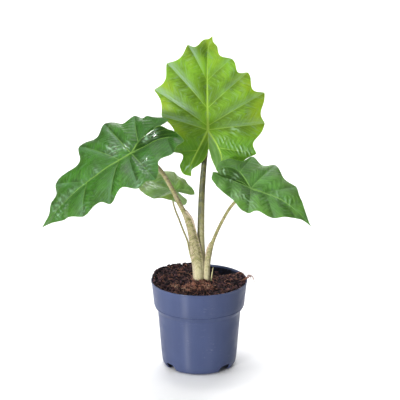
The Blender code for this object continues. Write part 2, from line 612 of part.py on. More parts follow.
def main():
    clear_scene()
    parts = new_collection("potted_alocasia")
    cutters = new_collection("cutters")
    make_pot(parts, cutters)
    make_soil(parts, cutters)
    shade_round(loft("corm", CORM, 16, 8, parts), 40)
    shade_round(loft("scale_leaf", SCALE_LEAF, 8, 9, parts), 60)
    make_stalks(parts, cutters)
    for key, leaf in BLADES.items():
        make_blade("blade_" + key, leaf, parts)


main()
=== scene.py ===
import math

import bmesh
import bpy
import numpy as np
from bpy.props import FloatProperty, FloatVectorProperty, IntProperty, PointerProperty
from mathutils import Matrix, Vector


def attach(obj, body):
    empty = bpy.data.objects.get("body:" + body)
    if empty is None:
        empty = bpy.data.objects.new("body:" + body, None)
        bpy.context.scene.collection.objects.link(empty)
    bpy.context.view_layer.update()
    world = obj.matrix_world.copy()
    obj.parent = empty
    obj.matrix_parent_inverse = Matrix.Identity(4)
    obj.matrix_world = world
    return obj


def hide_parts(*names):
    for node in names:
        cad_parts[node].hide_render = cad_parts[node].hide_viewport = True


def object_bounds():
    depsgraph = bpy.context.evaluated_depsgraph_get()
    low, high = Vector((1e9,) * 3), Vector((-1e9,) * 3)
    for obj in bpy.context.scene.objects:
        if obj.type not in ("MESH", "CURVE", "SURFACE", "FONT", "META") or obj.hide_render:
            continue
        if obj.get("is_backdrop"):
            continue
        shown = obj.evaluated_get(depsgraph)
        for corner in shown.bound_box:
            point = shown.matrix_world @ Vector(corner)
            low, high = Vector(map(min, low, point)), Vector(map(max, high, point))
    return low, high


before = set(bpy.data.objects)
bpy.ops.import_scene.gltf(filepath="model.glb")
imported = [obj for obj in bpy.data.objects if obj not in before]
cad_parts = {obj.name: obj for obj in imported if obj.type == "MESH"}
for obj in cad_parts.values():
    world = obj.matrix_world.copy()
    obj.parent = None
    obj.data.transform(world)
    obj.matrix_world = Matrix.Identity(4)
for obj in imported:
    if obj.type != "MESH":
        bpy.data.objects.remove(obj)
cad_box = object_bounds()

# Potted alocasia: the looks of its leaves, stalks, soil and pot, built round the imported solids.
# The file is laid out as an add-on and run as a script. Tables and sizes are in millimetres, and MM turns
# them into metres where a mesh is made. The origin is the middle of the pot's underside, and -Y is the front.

bl_info = {
    "name": "Potted alocasia",
    "version": (1, 0, 0),
    "blender": (4, 5, 0),
    "location": "3D View > Sidebar > Plant",
    "description": "Builds the leaves, stalks, soil and pot of a potted alocasia round its solids",
    "category": "Add Mesh",
}

MM = 0.001
BODY = "root"

# Pot: radius and height down the outside, with the rounded rim, the step under the upper band and the foot
POT_HEIGHT = 112.0
POT_OUTSIDE = [
    (59.6, 111.5), (59.7, 111.9), (60.1, 112.1), (60.5, 112), (60.7, 111.6), (60.7, 110.9), (60.4, 110.4),
    (60.1, 110), (60, 109.4), (58.75, 97.5), (57.5, 85.9), (57, 81.3), (56.7, 80.6), (56, 80.3),
    (55.7, 79.9), (55.75, 79.4), (56.15, 79.1), (55.9, 78.4), (55.3, 77.4), (53.2, 74.2), (52.6, 73.2),
    (52.2, 72), (51.2, 59), (50, 44.7), (48.4, 24.5), (47.5, 13.5),
]
FOOT_OUTSIDE = [(47.5, 13.5), (47, 9), (46.2, 5), (45.3, 4.3), (45.2, 3.4), (44.3, 2), (42.7, 0.8), (40.5, 0)]
FOOT_INSIDE = [(39.2, 0), (41.4, 1.3), (43.6, 3.2), (44.6, 5.8), (45.4, 10)]
POT_UNDERSIDE = [(45.1, 10), (15.6, 10), (14.6, 5), (14, 0.4), (13.7, 0), (0, 0)]
POT_INSIDE = [
    (0, 1.2), (12.9, 1.2), (14.4, 11.2), (44, 11.2), (45.9, 12.8), (47.1, 24.5), (48.7, 44.7), (50.7, 73.4),
    (54.6, 79.8), (56.2, 85.9), (58.8, 109.8), (59.4, 111.2),
]
FOOT_ROWS = 12
POT_SEAM = 0.01
NOTCH_TURNS = (-142.5, -44.3, 37.5, 135.7)
NOTCH_RADIUS = 44.0
NOTCH_HEIGHTS = [(0, 9.5), (2.6, 9.5), (4.6, 9.15), (6.2, 8.6), (7.4, 7.7), (8.3, 6.6), (8.9, 5), (9.2, 3.5),
                 (9.35, 1.2), (9.42, 0)]
FLOOR_TOP = 11.3
RIM_BOTTOM = 110.5
SCUFF_PLACES = ((-0.0149, -0.0490, 0.041), (0.0120, -0.0570, 0.092))
DRAIN_CIRCLE = 28.0
DRAIN_RADIUS = 3.5
DRAIN_COUNT = 6
DRAIN_SIDES = 24
DRAIN_HEIGHTS = (8, 14)
DRAIN_TURN = math.radians(12.5)

# Soil
SOIL_LEVEL = 106.0
SOIL_EDGE = 58.9
# Heaps and hollows by middle, rise and reach
HEAPS = (
    (2, -2, 4, 25), (2, -5, 3.4, 14), (-48, 20, 8.6, 28), (-36, 46, 3.4, 18), (-8, 52, 5.5, 20),
    (27, 43, -6.5, 15), (54, 16, 6.5, 17),
)
# Crumbs pressed into the bed, the heights at which it follows the pot's wall, and its flat bottom
BED_CRUMBS = 2600
CRUMB_DEPTH = 0.9
SOIL_WALL = (92.0, 85.5, 78.4, 72.4, 44.5, 24.3, 13.4)
SOIL_BOTTOM = [(43.0, 11.6), (0.01, 11.6)]
# The bank of crumbs along the rim, in degrees and radii, and the clumps of fibres in front of the stem
BANK_CRUMBS = 260
BANK_TURNS = (98, 205)
BANK_REACH = (54.5, 58.6)
CLUMPS = 44
CLUMP_MIDDLE = (-7.0, -20.5)
CLUMP_REACH = (25.0, 9.0)
CLUMP_SHARE = 0.45
COIR_PATCH = ((-8.0, -25.0), (26.0, 17.0))
FIBRE_STEPS = 8
RIM_TUFTS = (
    ([(54, 1, 110.5), (58.6, 0, 113.2), (62.6, -1, 117.2), (66.3, -1.5, 116.2), (68.2, -1.5, 111.5),
      (67.6, -1, 105.6)], 20),
    ([(49, 18, 110), (53, 17, 113), (57, 16, 115.5), (59.5, 15, 113.5)], 9),
)
STEM_FOOT = (2.15, -0.5)
STEM_FOOT_SIZE = (11.7, 9.9)
HAIR_TURNS = (150, 330)

# Leaf stalks from the corm up: x, y, z, half width, half depth
CORM_TOP = 92.3
STALKS = {
    "upright": [
        (4.2, 2.4, CORM_TOP, 4, 4), (4.6, 1.8, 108, 4.2, 4.2), (4.4, 1.2, 132, 4.4, 4.2),
        (2.7, 1, 151, 4.6, 4.2), (2.1, 2.2, 175, 4.5, 4.1), (3.1, 6.4, 217.5, 4, 3.8),
        (5.5, 12, 254, 3.5, 3.5), (8.2, 16.8, 279, 3.3, 3.3), (9.6, 18.6, 292, 3.1, 3.1),
    ],
    "left": [
        (-1, -1.6, CORM_TOP, 6.4, 6.6), (-1.1, -1.6, 108, 6.7, 7.2), (-1.2, -1.8, 122, 7, 7.2),
        (-2.1, -2, 138, 7.5, 7), (-4.2, -2.2, 151, 7.1, 6.6), (-6.4, -2.4, 163, 6.4, 6),
        (-9.4, -3.6, 178, 5.4, 5.2), (-13.3, -6.2, 192.5, 4.9, 4.3), (-17.6, -8.2, 201.5, 3.5, 3.3),
        (-20.4, -9.4, 207.5, 3.1, 3), (-26.2, -12, 219.5, 3, 3), (-33, -15.5, 235, 2.8, 2.8),
        (-46, -19.5, 259.5, 2.7, 2.7), (-60, -25.5, 276, 2.6, 2.6), (-73.5, -29, 283.2, 2.5, 2.5),
    ],
    "right": [
        (9.5, -1.2, CORM_TOP, 3.8, 4.8), (9.3, -1.4, 108, 4.1, 5.4), (9.3, -1.8, 120, 4.1, 5.2),
        (9.9, -2.2, 131, 4, 4.6), (11.1, -3, 141, 3.9, 4.1), (13.1, -4.2, 152, 3.6, 3.4),
        (14.9, -5.5, 158.5, 3.1, 3), (17, -7, 164.5, 2.3, 2.3), (19.4, -8.6, 171.5, 2.15, 2.15),
        (24.3, -12.2, 184.5, 2.1, 2.1), (30.2, -16.5, 198, 2, 2), (37.2, -23, 212.8, 1.95, 1.95),
        (44.2, -30, 224.1, 1.9, 1.9), (53, -38.4, 235.2, 1.8, 1.8), (59.8, -45, 241.5, 1.7, 1.7),
    ],
    "small": [
        (-1.6, 5.6, CORM_TOP, 1.4, 1.4), (-2.6, 5.9, 108, 1.4, 1.4), (-5.8, 7.4, 122, 1.35, 1.35),
        (-11.6, 9.4, 145, 1.3, 1.3), (-14.8, 10.6, 160.1, 1.25, 1.25), (-19.6, 14, 171.5, 1.2, 1.2),
        (-25.7, 18.6, 186.6, 1.15, 1.15), (-30.4, 22.5, 198, 1.1, 1.1), (-33, 26, 208, 1.1, 1.1),
        (-32, 28.9, 214.6, 1.1, 1.1),
    ],
}
FOOT_TINT = (0.580, 0.535, 0.340)
MARGIN_TINT = (0.480, 0.380, 0.300)
# How a stalk runs out under its midrib: way along the midrib, share of the width, and depth below the blade
# as a share of the width and a gap
STALK_ENDS = ((-0.6, 0.95, 1.0, 1.6), (7.0, 0.5, 0.5, 2.0), (15.0, 0.2, 0.2, 2.2))
# Sheaths: lip, groove and shoulder by middle and width in degrees and height, the heights between which the
# margin and the shoulder come and go, the ribs' height, number and end, and the slow swell that turns with z
SHEATHS = {
    "left": dict(lip=(-26, 9, 0.60), groove=(-46, 11, 0.45), margin=(118, 132, 199, 206),
                 shoulder=(-8, 34, 1.5), shoulder_ends=(168, 200, 204.4, 205.8),
                 ribs=(0.09, 11, 190, 210), swell=(0.05, 5, 0.06)),
    "right": dict(lip=(205, 10, 0.50), groove=(226, 12, 0.35), margin=(118, 130, 160, 164.5),
                  shoulder=(188, 36, 1.1), shoulder_ends=(138, 155, 162.4, 163.6),
                  ribs=(0.06, 9, 160, 172), swell=(0.03, 4, 0.09)),
}
SCALE_LEAF = [
    (14.6, -2.2, 95, 0.6, 0.4), (14.8, -2.2, 104, 0.75, 0.4), (15.1, -2.2, 112, 0.75, 0.35),
    (15.9, -2.2, 119, 0.7, 0.3), (16.9, -2.2, 126, 0.5, 0.28), (17.6, -2.2, 129, 0.25, 0.2),
]

# Blades, laid out flat as in the solids: u runs along the midrib from the stalk to the tip, v across it
# Share of a lobe's rib that the sinus's web takes, length of a strip with full relief, rounding of the
# margin's corners, and width of the drip tip
SINUS_SHARE = 0.35
FULL_RELIEF = 25.0
CORNER = 1.7
DRIP_WIDTH = 2.2
# Strips: powers that bring their rows closer together near the rib, way from the rib for each millimetre
# along a strip, and how far the side veins fall back for each millimetre from a vein
ROW_POWER = 1.45
LOBE_ROW_POWER = 1.3
SLANT = 0.85
CHEVRON = 0.9
# Spacing of the ripples and side veins, depth of the rib and veins below the blade, and the thin margin's
# width and share of the thickness
RIPPLE_SPACING = 6.0
SIDE_VEIN_SPACING = 5.2
RIB_DEPTH = 1.85
VEIN_DEPTH = 0.75
THIN_WIDTH = 1.5
THIN_SHARE = 0.55
# Reach of the lobes behind the stalk, distance of their inner strips from a vein, and the distance within
# which the points of neighbouring strips are joined
LOBE_REACH = 20.0
LOBE_VEIN = 9.0
SEAM = 0.004
# A half's deep is the strength of painted shade in its lobe; its sheen strengths, on its strips and on the
# sinus's web, are of a painted grey sheen.
BLADES = {
    "upright": dict(
        attach=(10.8, 12, 304.7), azimuth=90, elevation=72.4, roll=0, droop=3, droop_back=1,
        rise=0.25, curl=8, drip=(3.2, -1.2), quilt=1.9, midrib=1.4,
        spine=[(0, 0), (27, 0.6), (61, 0.9), (84, 0.6), (100, 0), (110, -1.9), (117, -4.8)],
        halves=(
            dict(side=1, edge=-1.3, blunt=1.15, deep=0.48, pale=0.9,
                 roots=(117, 104, 62, 27, 5, 0, -0.45, -0.78, -1),
                 veins=(0, 0.2, 0.8, 1, 1, 0.9, 0.8, 0.2, 0),
                 tips=[(117, -4.8), (116, 4.4), (108.2, 25.3), (83.9, 51.6), (50.9, 68), (16.9, 58.2),
                       (-28, 43.8), (-44.5, 35.6), (-57.5, 21)],
                 dips=[(0.05, 0.5), (0.30, 0.62), (0.20, 0.55), (0.22, 0.58), (0.12, 0.5), (0.21, 0.5),
                       (0.52, 0.46), (-0.22, 0.5)],
                 rib=[(-20.5, 10.4), (-36.6, 18.6), (-49.2, 23.4), (-57.5, 21)],
                 inner=[(-23.6, -1, 0), (-34, 2.6, 0.6), (-42.8, 10.5, 1.2), (-46.8, 17, 1.4),
                        (-50, 20.5, 0.8), (-57.5, 21, 0)]),
            dict(side=-1, edge=-1.3, blunt=1.5, deep=0.3, pale=0.9, veil=0.45, web=0.8,
                 roots=(117, 104, 62, 27, 5, 0, -0.45, -0.78, -1),
                 veins=(0, 0.2, 0.6, 0.9, 1, 1, 0.9, 0.3, 0),
                 tips=[(117, -4.8), (106, -12), (89.3, -30.2), (72, -50.2), (46.9, -71.9), (7.9, -71.9),
                       (-30, -61), (-45, -38), (-51.8, -11.4)],
                 dips=[(0.08, 0.5), (0.29, 0.47), (0.33, 0.65), (0.30, 0.62), (0.14, 0.68), (0.20, 0.70),
                       (0.08, 0.5), (0.05, 0.5)],
                 rib=[(-16.3, -10.6), (-32.2, -17), (-44, -16.5), (-51.8, -11.4)],
                 inner=[(-23.6, -1, 0), (-30, -3, 0), (-36.7, -4.8, 0), (-47.1, -9.6, 0), (-51.8, -11.4, 0)]),
        )),
    "left": dict(
        attach=(-84, -35, 289.1), azimuth=174.6, elevation=-31, roll=28.8, droop=3, droop_back=1,
        rise=0.20, curl=7, drip=(2.4, -0.8), quilt=2.1, midrib=0.9, spine=[(0, 0), (78, 0), (155.9, 0)],
        halves=(
            dict(side=1, edge=-1.8, blunt=2, deep=1, pale=0.75,
                 roots=(155.9, 112, 68, 17, 3, 0, -0.62, -1),
                 veins=(0, 0.5, 0.9, 0.9, 0.1, 1, 0.2, 0),
                 tips=[(155.9, 0), (118, 27), (84.6, 50.1), (43, 60.3), (0.4, 63.2), (-23.1, 63.7),
                       (-53.5, 39.2), (-71.4, 30.4)],
                 dips=[(-0.02, 0.5), (0.02, 0.5), (0.15, 0.7), (0.22, 0.5), (0.05, 0.5), (0.24, 0.62),
                       (0.05, 0.5)],
                 rib=[(-20, 1.4), (-32, 2.8), (-43, 4.8), (-56, 12.1), (-71.4, 30.4)],
                 inner=[(-19.2, -12.6, 0), (-24, -12.4, 0.6), (-29.4, -11.8, 1.2), (-36.1, -10.9, 3),
                        (-42.1, -11.4, 6), (-49, -8.4, 7), (-55.2, -0.9, 5), (-62.4, 7.3, 3),
                        (-68.8, 20.9, 1), (-71.4, 30.4, 0)]),
            dict(side=-1, edge=1.8, blunt=2, deep=0.55, pale=0.28,
                 roots=(155.9, 112, 68, 17, 0, -0.25, -0.7, -1),
                 veins=(0, 0.2, 0.4, 0.8, 1, 0.9, 0.2, 0),
                 tips=[(155.9, 0), (131, -13), (114.6, -36.3), (71.1, -73.1), (29.6, -85.9), (-16.3, -58.2),
                       (-34.5, -42), (-59.5, -19)],
                 dips=[(0.03, 0.5), (0.10, 0.5), (0.40, 0.62), (0.33, 0.58), (0.16, 0.7), (0.03, 0.5),
                       (-0.05, 0.6)],
                 rib=[(-14.7, -11.8), (-30, -19.4), (-45, -24), (-59.5, -19)],
                 inner=[(-19.2, -12.6, 0), (-27, -14.8, 0), (-35, -15.6, 0), (-46, -16.4, 0),
                        (-53, -16.8, 0), (-59.5, -19, 0)]),
        )),
    "right": dict(
        attach=(63.7, -50, 248.6), azimuth=-17.3, elevation=-22.5, roll=-24.2, droop=3, droop_back=1,
        rise=0.20, curl=9, drip=(2.6, -1.8), quilt=1.3, midrib=1,
        spine=[(0, 0), (12, 2.6), (23.4, 5), (34, 6.3), (45, 6.8), (55.5, 5.9), (67, 3.6), (84, -0.2)],
        halves=(
            dict(side=1, edge=0.7, blunt=2, deep=1, pale=0.55,
                 roots=(84, 52, 18, 0, -0.45, -0.78, -1),
                 veins=(0, 0.1, 0.4, 0.9, 0.5, 0.1, 0),
                 tips=[(84, -0.2), (62.8, 20), (46.2, 37.5), (9.3, 57), (-20.9, 49.8), (-44.3, 25.4),
                       (-50, 3.2)],
                 dips=[(0, 0.5), (0, 0.5), (0.13, 0.4), (0.28, 0.5), (0.17, 0.5), (-0.16, 0.5)],
                 rib=[(-12.1, 8.4), (-26, 15.5), (-39, 13.6), (-50, 3.2)],
                 inner=[(-13, 2.2, 0), (-20, 1.6, -1.2), (-28, 0.2, -2.6), (-36, -1, -2.4), (-44, -0.8, -1),
                        (-50, 3.2, 0)]),
            dict(side=-1, edge=-1, blunt=2, deep=1, pale=0.55,
                 roots=(84, 52, 18, 0, -0.45, -0.78, -1),
                 veins=(0, 0.1, 0.3, 0.7, 0.2, 0.1, 0),
                 tips=[(84, -0.2), (64.8, -6.5), (43.8, -26.5), (13.6, -40), (-15, -30.5), (-36.6, -25),
                       (-51, -6)],
                 dips=[(0.04, 0.5), (0, 0.5), (0.15, 0.66), (-0.13, 0.4), (-0.09, 0.5), (-0.16, 0.5)],
                 rib=[(-12, -0.6), (-26, -3.4), (-38, -7.4), (-51, -6)],
                 inner=[(-13, 2.2, 0), (-20, 4, -2.6), (-28, 5, -4.6), (-36, 3.8, -4.2), (-44, 1.2, -2.4),
                        (-49, -1.5, -1), (-51, -6, 0)]),
        )),
    "small": dict(
        attach=(-29.8, 30, 220.9), azimuth=165.1, elevation=20.2, roll=16.6, droop=4, droop_back=1,
        rise=0.20, curl=9, drip=(1, 0), quilt=1.6, midrib=1, spine=[(0, 0), (31, 0), (62, 0)],
        halves=(
            dict(side=1, edge=-0.8, blunt=2, deep=0, pale=0.8,
                 roots=(62, 32, 0, -0.45, -0.78, -1),
                 veins=(0, 0.5, 0.6, 0.3, 0.2, 0),
                 tips=[(62, 0), (38, 27.5), (18, 34.5), (-3, 24), (-17, 25.5), (-21.6, 17.5)],
                 dips=[(-0.10, 0.5), (-0.12, 0.5), (0.02, 0.5), (-0.04, 0.5), (-0.22, 0.5)],
                 rib=[(-6, 9), (-12.5, 15.5), (-18, 18.5), (-21.6, 17.5)],
                 inner=[(-3.5, 0.6, 0), (-9, 4.5, 0), (-14.5, 7.5, 0), (-19.5, 10.5, 0), (-21.6, 17.5, 0)]),
            dict(side=-1, edge=0.7, blunt=2, deep=0, pale=0.8,
                 roots=(62, 32, 0, -0.45, -0.78, -1),
                 veins=(0, 0.5, 0.6, 0.3, 0.2, 0),
                 tips=[(62, 0), (38, -18.5), (14.5, -30.5), (-3.5, -24), (-17, -15.5), (-23.9, -7)],
                 dips=[(-0.08, 0.5), (-0.08, 0.5), (0.05, 0.5), (0.03, 0.5), (-0.10, 0.5)],
                 rib=[(-6, -5), (-12, -8), (-18, -8.6), (-23.9, -7)],
                 inner=[(-3.5, 0.6, 0), (-9, -0.6, 0), (-15, -2, 0), (-20, -3.5, 0), (-23.9, -7, 0)]),
        )),
}

# Puckered patches: middle, reach, direction of the wrinkles' row in degrees, their spacing and height,
# and gloss, which also sets the painted highlight on the wrinkles' crests
PUCKERS = {
    "upright": [
        (-12.3, -16.5, 4, -65, 4.4, 0.9, 0.4), (-19, -29, 4.5, -65, 4.4, 0.9, 0.35),
        (-24.5, -41, 4.6, -65, 4.4, 1.2, 0.75), (-28, -50, 4.2, -65, 4.4, 1.1, 0.7),
        (-0.3, -34, 5, -20, 7, 0.7, 0.5), (-46.4, 25.4, 4, 60, 6, 0.6, 0.8),
    ],
    "left": [
        (18.8, -15.4, 7.5, 75, 6.5, 1.3, 1), (24, -25, 6.5, 30, 7, 1.2, 0.8),
        (-17, 38, 10, 70, 6.2, 1.4, 0.6), (-19, 28, 6, 110, 5.2, 1.2, 0.5), (2, -12.5, 5, 20, 5, 0.8, 0.9),
        (-2.1, 58.1, 6, 100, 7, 0.6, 0.8), (51.2, -5.1, 5, 20, 7, 0.5, 0.5), (73.2, -3, 6, 20, 8, 0.4, 0.3),
        (92, -4, 7, 20, 8, 0.4, 0.4), (112, -4, 8, 20, 8, 0.4, 0.5), (128, -2, 6, 20, 8, 0.3, 0.5),
        (80.6, 42.7, 7, 90, 8, 0.5, 0.5), (121, 13, 6, 20, 5, 0.6, 0.7), (106, 13, 3, 0, 5, 0.4, 0.8),
        (-24, -8.5, 4.5, 40, 4, 1, 1), (-36, -7, 5, 70, 4.4, 1.2, 1),
    ],
    "right": [
        (-40, 4, 4, 40, 5, 0.5, 0.7), (-24, 7, 4, 70, 5, 0.4, 0.5), (-27, -5, 4, 20, 6, 0.3, 0.7),
        (-9.8, -26, 4.5, 40, 5, 0.8, 0.6), (-1, -22.8, 4.5, 60, 5, 0.8, 0.55),
        (8, -24, 4, 100, 4.5, 0.6, 0.6), (16, -28, 4, 60, 4.5, 0.5, 0.6), (31, 8.5, 6, 20, 7, 0.3, 0.4),
        (49, 9.5, 6, 20, 7, 0.3, 0.4),
    ],
    "small": [(30.8, 11.6, 9, 60, 8, 0.5, 0.6)],
}

# Blade colours, painted sheen, painted shade beside the veins, and gloss
BLADE_FINISH = {
    "upright": dict(vein=(0.42, 0.62, 0.09), painted_sheen_strength=0.95, veil=(0.28, 0.41, 0.31), valley=0.45, yellow=0.8,
                    grain=0.55, shine=0.40, gloss=0.8, through_light=0.42, lobes=0.95, stroke_sheen=0.30),
    "left": dict(vein=(0.14, 0.27, 0.045), painted_sheen_strength=0.50, veil=(0.11, 0.21, 0.12), valley=0.78, yellow=0.35,
                 grain=0.95, shine=0.30, gloss=1.0, through_light=0.12, lobes=0.7),
    "right": dict(vein=(0.17, 0.35, 0.07), painted_sheen_strength=0.55, veil=(0.14, 0.25, 0.14), valley=0.62, yellow=0.35,
                  grain=0.75, shine=0.38, gloss=0.9, through_light=0.16),
    "small": dict(vein=(0.22, 0.36, 0.09), painted_sheen_strength=0.60, veil=(0.24, 0.34, 0.23), valley=0.45, yellow=0.8,
                  grain=0.75, shine=0.36, gloss=0.7, through_light=0.18, lobes=0.5),
}

# Stage, in metres but for the floor: each light's name, place, size, power and target
FLOOR_REACH = 9000
LIGHTS = (
    ("softbox_left", (-1.30, -1.9, 0.22), (0.34, 0.40), 58.0, (0.0, 0.0, 0.12)),
    ("softbox_right", (1.15, -2.0, 0.20), (0.16, 0.36), 8.0, (0.0, 0.0, 0.08)),
    ("strip_front", (-0.2, -1.5, 1.75), (0.9, 0.22), 7.0, (0.0, 0.0, 0.25)),
    ("wall_left", (-2.4, -0.4, 1.2), (2.2, 2.2), 28.0, (0.0, 0.0, 0.2)),
    ("softbox_top", (-0.3, 0.5, 2.1), (3.0, 3.6), 54.0, (-0.3, 0.5, 0.0)),
    ("strip_top", (-0.35, 0.45, 2.0), (0.6, 0.35), 10.0, (0.0, 0.0, 0.25)),
    ("back_light", (0.2, 3.4, 1.9), (3.0, 1.8), 100.0, (0.1, 2.2, 0.0)),
)


# Settings

def colour(name, description, default):
    return FloatVectorProperty(name=name, description=description, default=default, subtype="COLOR",
                               min=0.0, max=1.0, size=3)


def whole(name, description, default, least=0):
    return IntProperty(name=name, description=description, default=default, min=least)


def amount(name, description, default, least=0.0, **more):
    return FloatProperty(name=name, description=description, default=default, min=least, **more)


class PotSettings(bpy.types.PropertyGroup):
    sides: whole("Sides", "Columns round the pot", 150, 24)
    plastic: colour("Plastic", "Slate blue of the moulded plastic", (0.044, 0.058, 0.121))
    shine: amount("Roughness", "Roughness of the plastic", 0.39, max=1.0)


class SoilSettings(bpy.types.PropertyGroup):
    rings: whole("Rings", "Rings of the soil's surface", 96, 8)
    spokes: whole("Spokes", "Points in a ring", 380, 16)
    lumps: whole("Crumbs", "Loose crumbs of peat", 1900)
    fibres: whole("Fibres", "Loose coir fibres", 820)
    seed: whole("Seed", "Seed of the crumbs and fibres", 7)
    dark: colour("Dark peat", "Colour of wet peat", (0.008, 0.0045, 0.0075))
    brown: colour("Brown peat", "Colour of dry crumbs", (0.112, 0.052, 0.060))
    coir: colour("Coir", "Colour of the coir fibre", (0.430, 0.185, 0.120))


class BladeSettings(bpy.types.PropertyGroup):
    columns: whole("Columns", "Columns between two veins", 32, 4)
    rows: whole("Rows", "Rows from rib to margin", 50, 6)
    lobe_rows: whole("Lobe rows", "Rows from a lobe's rib to its inner margin", 22, 4)
    thickness: amount("Thickness", "Blade thickness in millimetres", 0.55, 0.2)
    upright: colour("Upright blade", "Between the veins", (0.162, 0.328, 0.021))
    left: colour("Left blade", "Between the veins", (0.025, 0.098, 0.008))
    right: colour("Right blade", "Between the veins", (0.072, 0.205, 0.030))
    small: colour("Small blade", "Between the veins", (0.122, 0.240, 0.047))


class StalkSettings(bpy.types.PropertyGroup):
    sides: whole("Sides", "Points round a stalk", 40, 8)
    rings: whole("Rings", "Rings along a stalk", 150, 20)
    pale: colour("Pale flesh", "Cream green of the sheaths", (0.500, 0.470, 0.260))
    green: colour("Green flesh", "Green of the stalks", (0.330, 0.300, 0.150))
    mottle: colour("Mottling", "Brown of the stripes and flecks", (0.085, 0.062, 0.036))


class StageSettings(bpy.types.PropertyGroup):
    lens: amount("Lens", "Focal length in millimetres", 214.2, 20.0)
    tilt: amount("Tilt", "How far the camera looks down", math.radians(17.5844), subtype="ANGLE")
    eye: FloatVectorProperty(name="Eye", description="Place of the camera", subtype="TRANSLATION", size=3,
                             default=(0.001008, -2.82792447, 1.11342058))
    floor: colour("Floor", "Pale floor", (0.93, 0.93, 0.94))
    ambient: amount("Ambient", "Strength of the even light", 0.10)


# Small mathematics

def through(points, count):
    """Catmull-Rom curve through the points, read at count places evenly spread over its spans."""
    p = np.asarray(points, float)
    p = np.vstack([2 * p[0] - p[1], p, 2 * p[-1] - p[-2]])
    spans = len(p) - 3
    place = np.linspace(0, spans, count)
    k = np.minimum(place.astype(int), spans - 1)
    t = (place - k)[:, None]
    a, b, c, d = p[k], p[k + 1], p[k + 2], p[k + 3]
    return 0.5 * (2 * b + (c - a) * t + (2 * a - 5 * b + 4 * c - d) * t**2 + (3 * b - a - 3 * c + d) * t**3)


def along(points, share):
    """Places at the given shares, an array, of a broken line's length."""
    p = np.asarray(points, float)
    run = np.concatenate([[0], np.cumsum(np.linalg.norm(np.diff(p, axis=0), axis=1))])
    where = np.clip(share, 0, 1) * run[-1]
    return np.stack([np.interp(where, run, p[:, i]) for i in range(p.shape[1])], -1)


def unit(v):
    return v / np.maximum(np.linalg.norm(v, axis=-1, keepdims=True), 1e-12)


def bell(x, width):
    """1 in the middle and less to both sides: e to the power of minus the square of x over the width."""
    return np.exp(-((x / width) ** 2))


def fade(z, low, high):
    """A smooth step from 0 at low to 1 at high: three squares less two cubes of the share."""
    t = np.clip((z - low) / (high - low), 0, 1)
    return t * t * (3 - 2 * t)


def turns(count):
    return 2 * math.pi * np.arange(count) / count


def on_disc(random, radius, count):
    """Places spread evenly over a disc: the reach is the radius times the square root of an even draw."""
    turn = random.uniform(0, 2 * math.pi, count)
    reach = radius * np.sqrt(random.uniform(0, 1, count))
    return reach * np.cos(turn), reach * np.sin(turn)


def hashed(i, j, seed):
    """A number from 0 to 1 for each lattice point: the broken part of a large sine."""
    value = np.sin(i * 127.1 + j * 311.7 + seed * 74.7) * 43758.5453
    return value - np.floor(value)


def soft_noise(x, y, scale, seed):
    """Values from -1 to 1 at lattice points, joined by smooth steps between them."""
    x, y = x / scale, y / scale
    i, j = np.floor(x), np.floor(y)
    fx, fy = fade(x - i, 0, 1), fade(y - j, 0, 1)
    low = hashed(i, j, seed) * (1 - fx) + hashed(i + 1, j, seed) * fx
    high = hashed(i, j + 1, seed) * (1 - fx) + hashed(i + 1, j + 1, seed) * fx
    return 2 * (low * (1 - fy) + high * fy) - 1


# Faces and meshes

def grid_faces(rows, columns, wrap=False, first=0, flip=False):
    """Quads of a grid whose points run row by row; wrap joins each row's end to its start."""
    r, c = np.meshgrid(np.arange(rows - 1), np.arange(columns if wrap else columns - 1), indexing="ij")
    a = first + r * columns + c
    b = first + r * columns + (c + 1) % columns
    quads = np.stack([a, b, b + columns, a + columns], -1).reshape(-1, 4)
    return quads[:, ::-1] if flip else quads


def tube_faces(rows, sides):
    """Quads of a tube, with a many-sided face over each end."""
    ends = [list(range(first, first + sides)) for first in (0, (rows - 1) * sides)]
    return grid_faces(rows, sides, wrap=True).tolist() + ends


def copies(faces, count, each):
    """The same faces for every copy of a piece that has so many points."""
    faces = np.array(faces)
    return (faces + np.arange(count)[:, None, None] * each).reshape(-1, faces.shape[1]).tolist()


def rings(radius, height, turn):
    """Points round +Z: radius times cosine and sine of each turn, and the height."""
    return np.stack(np.broadcast_arrays(radius * np.cos(turn), radius * np.sin(turn), height), -1)


def unfolded(corners):
    """The triangles without those that lie twice on the same three points: a pair goes, a third stays."""
    _, first, times = np.unique(np.sort(corners, axis=1), axis=0, return_index=True, return_counts=True)
    return corners[np.sort(first[times % 2 == 1])]


def add_object(name, mesh, *materials):
    for made in materials:
        mesh.materials.append(made)
    thing = bpy.data.objects.new(name, mesh)
    bpy.context.scene.collection.objects.link(thing)
    return thing


def fill_mesh(name, points, faces, **attributes):
    """A mesh from points in millimetres; each attribute is one number a point."""
    mesh = bpy.data.meshes.new(name)
    mesh.from_pydata((np.asarray(points).reshape(-1, 3) * MM).tolist(), [], [list(f) for f in faces])
    for key, values in attributes.items():
        layer = mesh.attributes.new(key, "FLOAT", "POINT")
        layer.data.foreach_set("value", np.asarray(values, np.float32).ravel())
    return mesh


def read(items, key, size=1, kind=float):
    """One value of every point, corner or face of a mesh, as an array."""
    values = np.zeros(len(items) * size, kind)
    items.foreach_get(key, values)
    return values.reshape(-1, size) if size > 1 else values


def clean(mesh, join=0.0, triangles=False, outwards=True):
    """Joins points nearer than join, in millimetres, cuts faces into triangles and turns them outwards."""
    work = bmesh.new()
    work.from_mesh(mesh)
    if join:
        bmesh.ops.remove_doubles(work, verts=work.verts, dist=join * MM)
        bmesh.ops.dissolve_degenerate(work, edges=work.edges, dist=1e-6)
    if triangles:
        bmesh.ops.triangulate(work, faces=work.faces)
    if outwards:
        bmesh.ops.recalc_face_normals(work, faces=work.faces)
    work.to_mesh(mesh)
    work.free()
    return mesh


